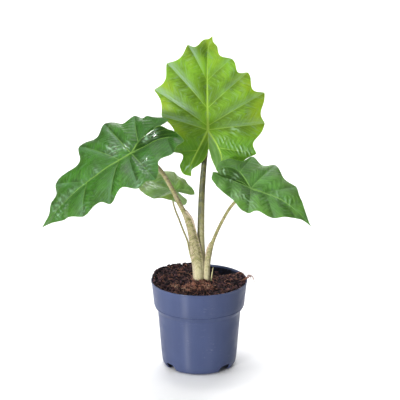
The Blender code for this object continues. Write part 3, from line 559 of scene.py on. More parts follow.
def smooth(mesh, degrees):
    mesh.shade_smooth()
    mesh.set_sharp_from_angle(angle=math.radians(degrees))


def stands_for(thing, *nodes, slot=None):
    """The piece rides on the plant's one body, and hides the solids that it stands for."""
    if nodes:
        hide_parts(*nodes)
    slot or nodes[0]
    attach(thing, BODY)


# Shader nodes

def scaled(tint, *by):
    """A colour times a number, or times one number for each of red, green and blue."""
    return tuple(min(1.0, c * b) for c, b in zip(tint, by * 3 if len(by) == 1 else by))


class Shader:
    """A material's node tree, with one call for each kind of node; tint is the colour so far."""

    def __init__(self, name):
        self.material = bpy.data.materials.new(name)
        self.material.use_nodes = True
        self.tree = self.material.node_tree
        self.base = self.tree.nodes["Principled BSDF"]

    def put(self, socket, value):
        if isinstance(value, bpy.types.NodeSocket):
            self.tree.links.new(value, socket)
        else:
            socket.default_value = (*value, 1.0) if socket.type == "RGBA" else value

    def fill(self, node, *values, **inputs):
        """Values go to the node's first sockets in order, and inputs to its sockets by name."""
        for socket, value in zip(node.inputs, values):
            self.put(socket, value)
        for key, value in inputs.items():
            self.put(node.inputs[key.replace("_", " ")], value)

    def node(self, kind, settings, *values, **inputs):
        made = self.tree.nodes.new("ShaderNode" + kind)
        for key, value in settings.items():
            setattr(made, key, value)
        self.fill(made, *values, **inputs)
        return made

    def math(self, operation, a, b=0.0):
        return self.node("Math", dict(operation=operation), a, b).outputs[0]

    def times(self, a, b):
        return self.math("MULTIPLY", a, b)

    def mix(self, factor, a, b):
        made = self.node("Mix", dict(data_type="RGBA"), factor)
        self.put(made.inputs[6], a)
        self.put(made.inputs[7], b)
        return made.outputs[2]

    def lay(self, colour, where, strength=None):
        """Mixes a colour into the tint where a mask says, at a strength."""
        self.tint = self.mix(where if strength is None else self.times(where, strength), self.tint, colour)

    def span(self, value, low, high, to_low=0.0, to_high=1.0):
        """The value's place between low and high, as a smooth step between two other values."""
        made = self.node("MapRange", dict(interpolation_type="SMOOTHSTEP"), value, low, high, to_low, to_high)
        return made.outputs[0]

    def attribute(self, name):
        return self.node("Attribute", dict(attribute_name=name)).outputs["Fac"]

    def place(self):
        return self.node("TexCoord", {}).outputs["Object"]

    def stretched(self, vector, scale, move=(0.0, 0.0, 0.0)):
        return self.node("Mapping", {}, Vector=vector, Scale=scale, Location=move).outputs[0]

    def distance(self, vector, middle=(0.0, 0.0, 0.0)):
        return self.node("VectorMath", dict(operation="DISTANCE"), vector, middle).outputs["Value"]

    def combined(self, x, y, z=0.0):
        return self.node("CombineXYZ", {}, x, y, z).outputs[0]

    def noise(self, vector, scale, detail=4.0, roughness=0.55):
        made = self.node("TexNoise", {}, Vector=vector, Scale=scale, Detail=detail, Roughness=roughness)
        return made.outputs["Fac"]

    def cells(self, vector, scale, feature="F1"):
        return self.node("TexVoronoi", dict(feature=feature), Vector=vector, Scale=scale).outputs["Distance"]

    def bump(self, height, distance, strength=1.0, **under):
        made = self.node("Bump", {}, Height=height, Distance=distance * MM, Strength=strength, **under)
        return made.outputs[0]

    def done(self, roughness, **inputs):
        """Puts the tint, the roughness and the named inputs on the main shader, and gives the material."""
        self.fill(self.base, Base_Color=self.tint, Roughness=roughness, **inputs)
        return self.material


# Pot

def notch_height(turn):
    """How far the wall's lower edge is raised at each turn round the pot.

    It is the arch's outline, read at the distance across the nearest gap, which is the foot's radius times
    the sine of the angle from the gap's middle.
    """
    apart = np.asarray(turn)[:, None] - np.radians(NOTCH_TURNS)[None, :]
    apart = np.abs((apart + math.pi) % (2 * math.pi) - math.pi).min(axis=1)
    across = np.where(apart < math.pi / 2, NOTCH_RADIUS * np.sin(apart), NOTCH_RADIUS)
    reach, height = np.array(NOTCH_HEIGHTS).T
    return np.interp(across, reach, height, right=0.0)


def wall_rows(profile, low, high):
    """Rows of a wall between two heights for each turn: radius read from the profile at every height."""
    z = high + (low - high) * np.linspace(0.0, 1.0, FOOT_ROWS)[:, None]
    radius, height = np.array(profile).T
    order = np.argsort(height)
    return np.interp(z, height[order], radius[order]), z


def make_pot(settings):
    """Turns a closed profile about +Z, with the foot's lower edge raised into arches at the gaps."""
    even = np.linspace(-math.pi, math.pi, settings.sides, endpoint=False)
    reach = np.array([c for c, _ in NOTCH_HEIGHTS])
    reach = np.concatenate([-reach[::-1], reach])
    edges = [math.radians(t) + np.arcsin(reach / NOTCH_RADIUS) for t in NOTCH_TURNS]
    turn = np.unique(np.round((np.concatenate([even] + edges) + math.pi) % (2 * math.pi) - math.pi, 5))
    arch = notch_height(turn)[None, :]
    outer = wall_rows(FOOT_OUTSIDE, arch, FOOT_OUTSIDE[0][1])
    inner = wall_rows(FOOT_INSIDE, FOOT_INSIDE[-1][1], arch)
    upper, under, inside = (np.repeat(np.array(profile).T[..., None], len(turn), 2)
                            for profile in (POT_OUTSIDE[:-1], POT_UNDERSIDE, POT_INSIDE))
    radius, height = (np.concatenate(rows) for rows in zip(upper, outer, inner, under, inside, upper[:, :1]))
    mesh = fill_mesh("pot_body", rings(radius, height, turn), grid_faces(len(radius), len(turn), wrap=True))
    return clean(mesh, POT_SEAM)


def drill(thing):
    """Cuts round drain holes through the floor."""
    cutters = []
    for angle in turns(DRAIN_COUNT) + DRAIN_TURN:
        middle = (DRAIN_CIRCLE * math.cos(angle), DRAIN_CIRCLE * math.sin(angle), 0.0)
        points = rings(DRAIN_RADIUS, np.array(DRAIN_HEIGHTS)[:, None], turns(DRAIN_SIDES)) + middle
        mesh = clean(fill_mesh("drain_cutter", points, tube_faces(2, DRAIN_SIDES)))
        cutters.append(add_object("drain_cutter", mesh))
        modifier = thing.modifiers.new("drain", "BOOLEAN")
        modifier.operation = "DIFFERENCE"
        modifier.solver = "EXACT"
        modifier.object = cutters[-1]
    graph = bpy.context.evaluated_depsgraph_get()
    mesh = bpy.data.meshes.new_from_object(thing.evaluated_get(graph))
    thing.modifiers.clear()
    thing.data = mesh
    for cutter in cutters:
        bpy.data.objects.remove(cutter)


def plastic_look(settings):
    """Moulded slate-blue plastic: faint upright streaks, a fine grain, specks, and scuffs in one place."""
    s = Shader("pot_plastic")
    place, base = s.place(), settings.plastic
    streaks = s.noise(s.stretched(place, (60.0, 60.0, 3.0)), 3.0, 3.0)
    scuffs = s.noise(s.stretched(place, (1.0, 1.0, 3.0)), 180.0, 6.0, 0.7)
    patches = s.span(s.noise(place, 26.0, 2.0), 0.55, 0.68)
    for middle in SCUFF_PLACES:
        patches = s.math("MAXIMUM", patches, s.span(s.distance(place, middle), 0.016, 0.004))
    s.tint = s.mix(s.span(s.noise(place, 16.0, 3.0), 0.32, 0.70), scaled(base, 0.95), scaled(base, 1.08))
    s.lay(scaled(base, 1.2), s.span(streaks, 0.45, 0.75, 0.0, 0.3))
    s.lay((0.30, 0.33, 0.42), s.times(s.span(scuffs, 0.56, 0.68), patches), 0.14)
    s.lay((0.02, 0.02, 0.035), s.span(s.cells(place, 150.0), 0.060, 0.025), 0.5)
    rough = s.span(s.noise(place, 90.0, 5.0), 0.3, 0.7, settings.shine - 0.06, settings.shine + 0.08)
    grain = s.bump(s.noise(place, 2600.0, 2.0), 0.02, 0.35)
    return s.done(rough, Normal=s.bump(streaks, 0.10, 0.4, Normal=grain), Specular_IOR_Level=0.17,
                  Anisotropic=0.90, Anisotropic_Rotation=0.25)


def inner_wall_shade_look(settings):
    """The pot's inner wall: painted shade, the same plastic darkened towards near black in blotches."""
    s = Shader("pot_inside")
    shade_blotches = s.noise(s.place(), 120.0, 5.0, 0.7)
    # Painted shade: the inner wall's plastic at 0.42 of its colour, blotched towards near black.
    s.tint = s.mix(s.span(shade_blotches, 0.35, 0.60), scaled(settings.plastic, 0.42), (0.006, 0.005, 0.009))
    return s.done(0.7, Normal=s.bump(shade_blotches, 0.2, 0.5), Specular_IOR_Level=0.10)


def inner_wall(mesh):
    """The faces between the floor and the rim that look towards the pot's middle."""
    middle = read(mesh.polygons, "center", 3) / MM
    outward = (middle[:, :2] * read(mesh.polygons, "normal", 3)[:, :2]).sum(axis=1)
    return (outward < -1.0) & (middle[:, 2] > FLOOR_TOP) & (middle[:, 2] < RIM_BOTTOM)


# Soil

def soil_height(x, y):
    """The level, a bell for each heap and hollow, and small lumps that are products of sines."""
    height = SOIL_LEVEL
    for middle_x, middle_y, rise, reach in HEAPS:
        height = height + rise * np.exp(-((x - middle_x) ** 2 + (y - middle_y) ** 2) / reach**2)
    return (height + 0.55 * np.sin(0.43 * x + 0.21 * y + 1.0) * np.cos(0.37 * y - 0.18 * x)
            + 0.40 * np.sin(0.81 * x - 0.55 * y + 2.0) * np.sin(0.69 * y + 0.47 * x))


def crumb_relief(x, y, random, parts=40):
    """Half-balls of many sizes thrown over the disc: at each point the highest one counts, its height the
    square root of one less the squared distance over its radius. The points are worked out in parts."""
    cx, cy = on_disc(random, SOIL_EDGE, BED_CRUMBS)
    size = 0.9 + 2.4 * random.uniform(0, 1, BED_CRUMBS) ** 2
    shade = random.uniform(0, 1, BED_CRUMBS)
    height, tone = np.zeros((2, len(x)))
    for part in np.array_split(np.arange(len(x)), parts):
        square = ((x[part, None] - cx) ** 2 + (y[part, None] - cy) ** 2) / size**2
        ball = size * 0.75 * np.sqrt(np.clip(1 - square, 0, 1))
        best = ball.argmax(axis=1)
        height[part] = ball[np.arange(len(part)), best]
        tone[part] = np.where(height[part] > 0, shade[best], 0.3)
    return height, tone


def pot_inner_radius(z):
    radius, height = np.array(POT_INSIDE[3:]).T
    return np.interp(z, height, radius)


def make_soil(settings, random):
    """A disc of rings, raised by the soil's heaps and by crumbs, and carried down the pot's wall to a flat
    bottom."""
    turn = turns(settings.spokes)
    top = rings(SOIL_EDGE * np.linspace(0.004, 1.0, settings.rings)[:, None], 0.0, turn)
    x, y = top[..., 0].ravel(), top[..., 1].ravel()
    relief, tone = crumb_relief(x, y, random)
    fine = 0.35 * soft_noise(x, y, 1.3, 5) + 0.25 * soft_noise(x, y, 0.6, 9)
    top[..., 2] = (soil_height(x, y) - CRUMB_DEPTH + relief + fine).reshape(settings.rings, -1)
    edge = top[-1, :, 2]
    reach = pot_inner_radius(np.minimum(edge, POT_HEIGHT - 1.0)) - 0.25
    reach = reach + 0.25 * np.clip(edge - POT_HEIGHT, 0, None)
    top[-1] = rings(reach, edge, turn)
    wall = [(pot_inner_radius(h) - 0.3, h) for h in SOIL_WALL] + SOIL_BOTTOM
    radius, height = np.array(wall).T[..., None]
    points = np.concatenate([top, rings(radius, height, turn)])
    tones = np.concatenate([tone, np.full(len(wall) * settings.spokes, 0.2)])
    return clean(fill_mesh("soil_bed", points, tube_faces(len(points), settings.spokes), tone=tones))


def make_lumps(random, place, size, tone, rows=4, sides=6):
    """Small uneven balls: rings of points between two poles, each point pushed in or out a little."""
    count = len(size)
    up = math.pi * np.arange(1, rows + 1)[:, None] / (rows + 1)
    ball = rings(np.sin(up), np.cos(up), turns(sides)).reshape(-1, 3)
    shape = np.concatenate([[(0, 0, 1)], ball, [(0, 0, -1)]])
    turned = random.normal(size=(count, 3, 3))
    axis = unit(turned[:, 0])
    other = unit(np.cross(axis, turned[:, 1]))
    spin = np.stack([axis, other, np.cross(axis, other)], 1)
    stretch = random.uniform(0.6, 1.25, (count, 1, 3))
    push = random.uniform(0.78, 1.18, (count, len(shape), 1))
    points = np.einsum("pi,nij->npj", shape, spin) * push * stretch * size[:, None, None] + place[:, None]
    each, low = len(shape), 1 + (rows - 1) * sides
    caps = [[0, 1 + i, 1 + (i + 1) % sides] for i in range(sides)]
    caps += [[each - 1, low + (i + 1) % sides, low + i] for i in range(sides)]
    quads = grid_faces(rows, sides, wrap=True, first=1, flip=True)
    return points, copies(quads, count, each) + copies(caps, count, each), np.repeat(tone, each)


def make_strands(paths, radius, tone):
    """Three-sided tubes that taper to both ends: a triangle carried along each path of points."""
    count, steps = paths.shape[:2]
    tangent = unit(np.gradient(paths, axis=1))
    across = unit(np.cross(tangent, (0.31, 0.57, 0.76)))
    deep = np.cross(tangent, across)
    taper = 0.35 + 0.65 * np.sin(math.pi * np.linspace(0.06, 0.94, steps))
    angle = turns(3)[:, None]
    ring = across[:, :, None] * np.cos(angle) + deep[:, :, None] * np.sin(angle)
    points = paths[:, :, None] + ring * (radius[:, None] * taper)[:, :, None, None]
    each = steps * 3
    ends = [[2, 1, 0], [each - 3, each - 2, each - 1]]
    faces = copies(grid_faces(steps, 3, wrap=True), count, each) + copies(ends, count, each)
    return points, faces, np.repeat(tone, each)


def fibre_paths(random, start, length, lift, steps=FIBRE_STEPS):
    """Curly paths: each step turns a little from the last, and the height follows the soil."""
    count = len(start)
    heading = random.uniform(0, 2 * math.pi, count)
    bend = random.normal(0, 0.85, (count, steps))
    angle = heading[:, None] + np.cumsum(bend, axis=1)
    step = length[:, None] / steps
    x = start[:, :1] + np.cumsum(np.cos(angle) * step, axis=1)
    y = start[:, 1:] + np.cumsum(np.sin(angle) * step, axis=1)
    pull = np.minimum(1.0, (SOIL_EDGE - 1.5) / np.maximum(np.hypot(x, y), 1e-6))
    x, y = x * pull, y * pull
    wave = np.sin(np.linspace(0.2, math.pi - 0.2, steps))[None, :] * lift[:, None]
    z = soil_height(x, y) + 0.6 + wave + random.normal(0, 0.25, x.shape)
    return np.stack([x, y, z], -1)


def tuft_paths(random, guide, count, steps=FIBRE_STEPS):
    """Fibres along a guide: each ends somewhere on it and strays further from it towards its end."""
    base = through(guide, steps)
    reach = random.uniform(0.45, 1.0, count)
    paths = np.stack([through(base[: max(4, int(round(r * steps)))], steps) for r in reach])
    spread = random.normal(0, 1.0, (count, 1, 3)) * np.linspace(0.3, 1.5, steps)[None, :, None]
    wiggle = random.normal(0, 0.55, (count, steps, 3))
    return paths + spread + wiggle


def foot_paths(random, count=46, steps=FIBRE_STEPS):
    """Short brown hairs that fray from the stem's foot: each starts on its outline and rises along it."""
    turn = np.radians(random.uniform(*HAIR_TURNS, count))
    low = np.array(STEM_FOOT) + np.array(STEM_FOOT_SIZE) * np.stack([np.cos(turn), np.sin(turn)], 1)
    share = np.linspace(0, 1, steps)[None, :, None]
    drift = random.normal(0, 1.6, (count, 1, 2))
    flat = low[:, None] * (1.10 - 0.16 * share) + drift * share
    rise = random.uniform(1.5, 5.5, (count, 1)) * share[..., 0]
    z = soil_height(low[:, 0], low[:, 1])[:, None] - 0.3 + rise
    return np.concatenate([flat, z[..., None]], -1) + random.normal(0, 0.12, (count, steps, 3))


def make_crumbs(settings, random):
    """Loose crumbs all over the soil and in a bank along the rim, but none on the stem's foot."""
    count = settings.lumps
    x, y = on_disc(random, SOIL_EDGE - 1.0, count)
    size = 0.55 + 1.5 * random.uniform(0, 1, count) ** 2.2
    lift = random.uniform(0.2, 1.4, count)
    turn = random.uniform(*np.radians(BANK_TURNS), BANK_CRUMBS)
    reach = random.uniform(*BANK_REACH, BANK_CRUMBS)
    x = np.concatenate([x, reach * np.cos(turn)])
    y = np.concatenate([y, reach * np.sin(turn)])
    size = np.concatenate([size, random.uniform(0.7, 1.9, BANK_CRUMBS)])
    lift = np.concatenate([lift, random.uniform(0.2, 3.0, BANK_CRUMBS)])
    tone = random.uniform(0, 1, len(x)) ** 1.7
    place = np.stack([x, y, soil_height(x, y) + lift], -1)
    keep = (((place[:, :2] - STEM_FOOT) / STEM_FOOT_SIZE) ** 2).sum(axis=1) > 0.75
    points, faces, tones = make_lumps(random, place[keep], size[keep], tone[keep])
    return fill_mesh("soil_crumbs", points, faces, tone=tones)


def make_fibres(settings, random):
    """Loose coir: clumps in front of the stem, strands all over, tufts over the rim, hairs at the foot."""
    count = settings.fibres
    near = int(count * CLUMP_SHARE)
    far = count - near
    clumps = np.array(CLUMP_MIDDLE) + np.stack(on_disc(random, 1.0, CLUMPS), 1) * CLUMP_REACH
    of_clump = random.integers(0, CLUMPS, near)
    patch = clumps[of_clump] + random.normal(0, 1.5, (near, 2))
    near_tone = random.uniform(0, 1, CLUMPS)[of_clump] + random.normal(0, 0.25, near)
    start = np.concatenate([patch, np.stack(on_disc(random, SOIL_EDGE - 4, far), 1)])
    length = np.concatenate([random.uniform(3, 8, near), random.uniform(4, 14, far)])
    loose = fibre_paths(random, start, length, random.uniform(0.3, 3.0, count))
    radius = [random.uniform(0.22, 0.55, near), random.uniform(0.12, 0.40, far)]
    tone = [np.clip(near_tone, 0, 1), random.uniform(0.0, 0.62, far)]
    tufts = np.concatenate([tuft_paths(random, *rim) for rim in RIM_TUFTS])
    hairs = foot_paths(random)
    radius += [random.uniform(0.16, 0.34, len(tufts)), random.uniform(0.10, 0.24, len(hairs))]
    tone += [random.uniform(0.15, 0.5, len(tufts)), random.uniform(0.3, 1.0, len(hairs))]
    paths = np.concatenate([loose, tufts, hairs])
    points, faces, tones = make_strands(paths, np.concatenate(radius), np.concatenate(tone))
    return fill_mesh("coir_fibres", points, faces, tone=tones)


def peat_look(settings, name, rough=0.95):
    """Peat: dark where it is wet and low, brown on dry crumbs, reddish in a patch in front of the stem."""
    s = Shader(name)
    place = s.place()
    grain = s.noise(place, 900.0, 5.0, 0.65)
    dry = s.math("ADD", s.times(s.attribute("tone"), 0.75), s.times(s.noise(place, 70.0, 4.0), 0.5))
    (x, y), (reach_x, reach_y) = COIR_PATCH
    scale, move = (1 / (MM * reach_x), 1 / (MM * reach_y), 0.0), (-x / reach_x, -y / reach_y, 0.0)
    coir = s.span(s.distance(s.stretched(place, scale, move)), 1.25, 0.35)
    s.tint = s.mix(s.span(dry, 0.52, 1.02), settings.dark, settings.brown)
    coir = s.times(coir, s.span(s.noise(place, 260.0, 4.0, 0.7), 0.42, 0.60))
    s.lay(scaled(settings.coir, 0.4), coir, 0.22)
    s.lay(scaled(settings.brown, 1.5), s.span(grain, 0.60, 0.78), 0.45)
    s.lay(scaled(settings.dark, 0.6), s.span(grain, 0.45, 0.22))
    return s.done(rough, Normal=s.bump(grain, 0.5, 0.9), Specular_IOR_Level=0.25)


def fibre_look(settings):
    """Coir: reddish brown, some strands pale and some nearly black, with a fine grain."""
    s = Shader("coir_fibre")
    tone, grain = s.attribute("tone"), s.noise(s.place(), 1500.0, 3.0)
    s.tint = s.mix(s.span(tone, 0.12, 0.7), scaled(settings.coir, 0.10), scaled(settings.coir, 1.4))
    s.lay((0.66, 0.44, 0.32), s.span(tone, 0.80, 1.0))
    s.lay(scaled(settings.coir, 0.35), grain, 0.5)
    return s.done(0.8, Normal=s.bump(grain, 0.1, 0.6))


# Stalks

def blade_frame(leaf):
    """Directions along the midrib, across it and out of the upper face."""
    az, el, roll = (math.radians(leaf[key]) for key in ("azimuth", "elevation", "roll"))
    ahead = np.array([math.cos(el) * math.cos(az), math.cos(el) * math.sin(az), math.sin(el)])
    upright = np.array([-math.sin(el) * math.cos(az), -math.sin(el) * math.sin(az), math.cos(el)])
    out = math.cos(roll) * upright + math.sin(roll) * np.cross(upright, ahead)
    return ahead, np.cross(out, ahead), out


def side_relief(key, angle, z):
    """How far a stalk's side stands out at an angle and a height: waves of faint lengthwise ribs, and on a
    sheath its free margin, a lip beside a groove, which are bells over the angle, ending at a shoulder."""
    if key not in SHEATHS:
        return 0.05 * np.sin(8 * angle + 0.8) + 0.03 * np.sin(5 * angle + z * 0.05)
    sheath = SHEATHS[key]

    def ridge(middle, width, height):
        return height * bell((np.degrees(angle) - middle + 180) % 360 - 180, width)

    def between(start, full, last, end):
        return fade(z, start, full) * (1 - fade(z, last, end))

    ribs, count, fading, gone = sheath["ribs"]
    swell, waves, turning = sheath["swell"]
    return (between(*sheath["margin"]) * (ridge(*sheath["lip"]) - ridge(*sheath["groove"]))
            + ridge(*sheath["shoulder"]) * between(*sheath["shoulder_ends"])
            + ribs * np.sin(count * angle) * (1 - fade(z, fading, gone))
            + swell * np.sin(waves * angle + z * turning))


def make_stalk(name, stations, settings, key=None):
    """Ellipses carried along a curve, each point moved out by the side's relief, closed at both ends.

    An ellipse stands square to the curve, with its width in the plane that faces the front.
    """
    s = through(stations, settings.rings)
    centre, size = s[:, :3], s[:, 3:]
    tangent = unit(np.gradient(centre, axis=0))
    across = unit(np.cross((0.0, 1.0, 0.0), tangent))
    deep = np.cross(tangent, across)
    angle = turns(settings.sides)
    girth = size.mean(axis=1)[:, None]
    raised = np.zeros((settings.rings, settings.sides))
    if key:
        raised = side_relief(key, angle[None, :], centre[:, 2:])
    out = size[:, :, None] * np.stack([np.cos(angle), np.sin(angle)]) * (1 + raised / girth)[:, None]
    points = centre[:, None] + across[:, None] * out[:, 0, :, None] + deep[:, None] * out[:, 1, :, None]
    run = np.concatenate([[0], np.cumsum(np.linalg.norm(np.diff(centre, axis=0), axis=1))])
    mesh = clean(fill_mesh(name, points, tube_faces(settings.rings, settings.sides),
                           run=np.repeat(run, settings.sides), around_x=girth * np.cos(angle),
                           around_y=girth * np.sin(angle), lip=np.clip(raised / 0.4, 0, 1)))
    smooth(mesh, 60)
    return mesh


def stalk_path(key):
    """The stalk's stations, carried on under the blade so that the stalk runs out into the midrib."""
    ahead, _, out = blade_frame(BLADES[key])
    width = STALKS[key][-1][3]
    ends = []
    for far, share, below, gap in STALK_ENDS:
        place = np.array(BLADES[key]["attach"]) + ahead * far - out * (below * width + gap)
        ends.append((*place, width * share, width * share))
    return STALKS[key] + ends


def stalk_look(settings, name, flesh, upper, marks, painted_left_shade=0.0, low=20.0, high=95.0):
    """Fleshy stalk: pale at the foot and greener above, lengthwise fibres, and olive and brown flecks in
    slanting rows that meet on its front; painted shade darkens its left side, and the sheath's margin is
    pinkish."""
    s = Shader(name)
    run, lip, ax, ay = (s.attribute(key) for key in ("run", "lip", "around_x", "around_y"))
    slant = s.math("ADD", run, s.times(s.math("ABSOLUTE", ax), 0.9))
    fibres = s.noise(s.combined(ax, ay, s.times(run, 0.05)), 2.0, 5.0, 0.65)
    flecks = s.noise(s.combined(s.times(ax, 0.5), s.times(ay, 0.5), slant), 0.62, 4.0, 0.75)
    bands = s.noise(s.combined(s.times(ax, 0.3), s.times(ay, 0.3), slant), 0.30, 4.0, 0.65)
    s.tint = s.mix(s.span(run, low, high), flesh, upper)
    s.lay(FOOT_TINT, s.span(run, 60.0, 26.0, 0.0, 0.85))
    s.lay(scaled(flesh, 0.62, 0.60, 0.46), s.span(fibres, 0.44, 0.60, 0.0, 0.50))
    if not painted_left_shade:
        s.lay(MARGIN_TINT, s.span(ax, -2.2, -5.5, 0.0, 0.45))
    # Painted shade: the left side darkened towards dark olive, a quarter as much below 72 mm and fully from
    # 116 mm.
    s.lay((0.055, 0.065, 0.040), s.span(ax, 0.9, -0.9, 0.0, painted_left_shade), s.span(run, 72.0, 116.0, 0.25, 1.0))
    strength = s.span(run, 20.0, 62.0, 0.15, marks)
    s.lay((0.170, 0.175, 0.045), s.span(bands, 0.46, 0.60), strength)
    s.lay(settings.mottle, s.span(flecks, 0.52, 0.59), strength)
    s.lay(MARGIN_TINT, s.span(lip, 0.45, 0.95), s.span(run, 30.0, 60.0, 0.0, 0.75))
    return s.done(s.span(fibres, 0.3, 0.7, 0.42, 0.58),
                  Normal=s.bump(fibres, 0.30, 0.7, Normal=s.bump(flecks, 0.12, 0.5)), Subsurface_Weight=0.08,
                  Subsurface_Radius=(0.006, 0.008, 0.003), Subsurface_Scale=0.4, Specular_IOR_Level=0.2)


def dry_look():
    """Papery dry scale: straw colour with brown fibres."""
    s = Shader("dry_scale")
    fibres = s.noise(s.stretched(s.place(), (1.0, 1.0, 0.12)), 900.0, 4.0)
    s.tint = s.mix(s.span(fibres, 0.35, 0.7), (0.60, 0.58, 0.30), (0.34, 0.30, 0.14))
    return s.done(0.7, Normal=s.bump(fibres, 0.2, 0.6))


def corm_look():
    """Brown corm skin with rings of old leaf scars."""
    s = Shader("corm_skin")
    bark = s.noise(s.place(), 420.0, 6.0, 0.7)
    scars = s.noise(s.stretched(s.place(), (0.2, 0.2, 4.0)), 160.0, 3.0)
    s.tint = s.mix(scars, (0.10, 0.055, 0.03), (0.24, 0.16, 0.085))
    s.lay((0.05, 0.03, 0.02), s.span(bark, 0.5, 0.7))
    return s.done(0.85, Normal=s.bump(bark, 0.4, 0.8))


# Blades

def blade_place(leaf, u, v, h):
    """Bends the flat blade: it droops along its midrib on a circle, rises from it to both sides and curls
    back down on another circle, and h lifts a point off it."""
    ahead, side, out = blade_frame(leaf)
    k = np.where(u >= 0, leaf["droop"], leaf["droop_back"]) * MM
    turn = k * np.abs(u)
    x = np.sin(turn) / k * np.sign(u)
    z = -(1 - np.cos(turn)) / k
    lean = turn * np.sign(u)
    normal = np.sin(lean)[..., None] * ahead + np.cos(lean)[..., None] * out
    rise, curl = leaf["rise"], leaf["curl"] * MM
    slope = rise - curl * np.abs(v)
    y = (math.sin(rise) - np.sin(slope)) / curl
    w = (np.cos(slope) - math.cos(rise)) / curl
    return (np.array(leaf["attach"]) + x[..., None] * ahead + z[..., None] * out
            + (np.sign(v) * y)[..., None] * side + (w + h)[..., None] * normal)


def rounded(line):
    """Rounds a line's corners: each point is the mean of its neighbours, weighted by a bell over the way
    along the line, which narrows to nothing at both ends."""
    step = np.linalg.norm(np.diff(line, axis=0), axis=1)
    run = np.concatenate([[0], np.cumsum(step)])
    share = 0.5 * (np.append(step, 0) + np.append(0, step)) + 1e-6
    reach = np.maximum(np.minimum(CORNER, 0.4 * np.minimum(run, run[-1] - run)), 1e-3)
    weight = bell(run[:, None] - run[None, :], reach[:, None]) * share
    return weight @ line / weight.sum(axis=1, keepdims=True)


def blade_columns(leaf, half, count):
    """For every column: its place between two veins, its point on the margin, its root and the root's point
    on the rib, the gap between the veins at the rib and at the margin, and how strong the nearer vein is.

    Places are closer together near the veins, by half of one less the cosine. The margin is the chord
    between two vein tips, moved square to it by the dip's depth times a power of a sine that peaks at its
    place; its corners are rounded and the leaf's tip is drawn out. Roots above nothing lie on the midrib,
    in millimetres, and those below it on the lobe's rib, as shares of its length.
    """
    tips, roots, dips, veins = (np.array(half[key], float) for key in ("tips", "roots", "dips", "veins"))
    gaps = len(tips) - 1
    gap = np.append(np.repeat(np.arange(gaps), count), gaps - 1)
    t = np.append(np.tile(0.5 - 0.5 * np.cos(math.pi * np.arange(count) / count), gaps), 1.0)
    chord = tips[gap + 1] - tips[gap]
    square = np.stack([-chord[:, 1], chord[:, 0]], 1) * half["side"]
    bent = t ** (math.log(0.5) / np.log(dips[gap, 1]))
    bump = np.clip(np.sin(math.pi * bent), 0, 1) ** half["blunt"]
    margin = rounded(tips[gap] + chord * t[:, None] + square * (dips[gap, 0] * bump)[:, None])
    apart = np.linalg.norm(margin - tips[0], axis=1)
    margin = margin + np.array(leaf["drip"]) * np.exp(-((apart / DRIP_WIDTH) ** 1.5))[:, None]
    root = roots[gap] + (roots[gap + 1] - roots[gap]) * t
    curve = through([(0.0, 0.0)] + half["rib"], 24)
    spine = through(leaf["spine"], 40)

    def on_rib(d):
        ahead = np.stack([d, np.interp(d, spine[:, 0], spine[:, 1])], 1)
        return np.where((d >= 0)[:, None], ahead, along(curve, -d))

    near = np.linalg.norm(on_rib(roots[gap]) - on_rib(roots[gap + 1]), axis=1)
    far = np.linalg.norm(chord, axis=1)
    return t, margin, root, on_rib(root), near, far, np.where(t < 0.5, veins[gap], veins[gap + 1])


def inner_points(half, root):
    """Inner margin for the rear lobe's columns, and how far the lobe's fold lifts it there.

    The first column stays at the stalk. The web then runs straight to the sinus, and the rest of the columns
    follow the lobe's inner margin.
    """
    inner = through(half["inner"], 40)
    share = (-root - SINUS_SHARE) / (1 - SINUS_SHARE)
    web = np.array(half["inner"][0]) * (-root / SINUS_SHARE)[:, None]
    place = np.where((share < 0)[:, None], web, along(inner, share))
    place[0] = 0.0
    return place[:, :2], place[:, 2:]


def pucker(name, flat):
    """Wrinkled patches, their gloss and the painted highlight on their crests: sine waves in a row, under a
    bell round the patch's middle."""
    h, wet, crest = np.zeros((3, *flat.shape[:2]))
    for u, v, reach, turn, spacing, height, gloss in PUCKERS[name]:
        du, dv = flat[..., 0] - u, flat[..., 1] - v
        far = (du * math.cos(math.radians(turn)) + dv * math.sin(math.radians(turn))) / spacing
        far = far + 0.25 * soft_noise(flat[..., 0], flat[..., 1], 4.0, 11)
        near = bell(np.hypot(du, dv), reach)
        h += height * np.sin(2 * math.pi * far) * near
        wet += gloss * near
        crest += gloss * np.clip(near * 1.5, 0, 1) * np.clip(np.sin(2 * math.pi * far + 0.8), 0, 1) ** 2
    return h, np.clip(wet, 0, 1), np.clip(crest, 0, 1)


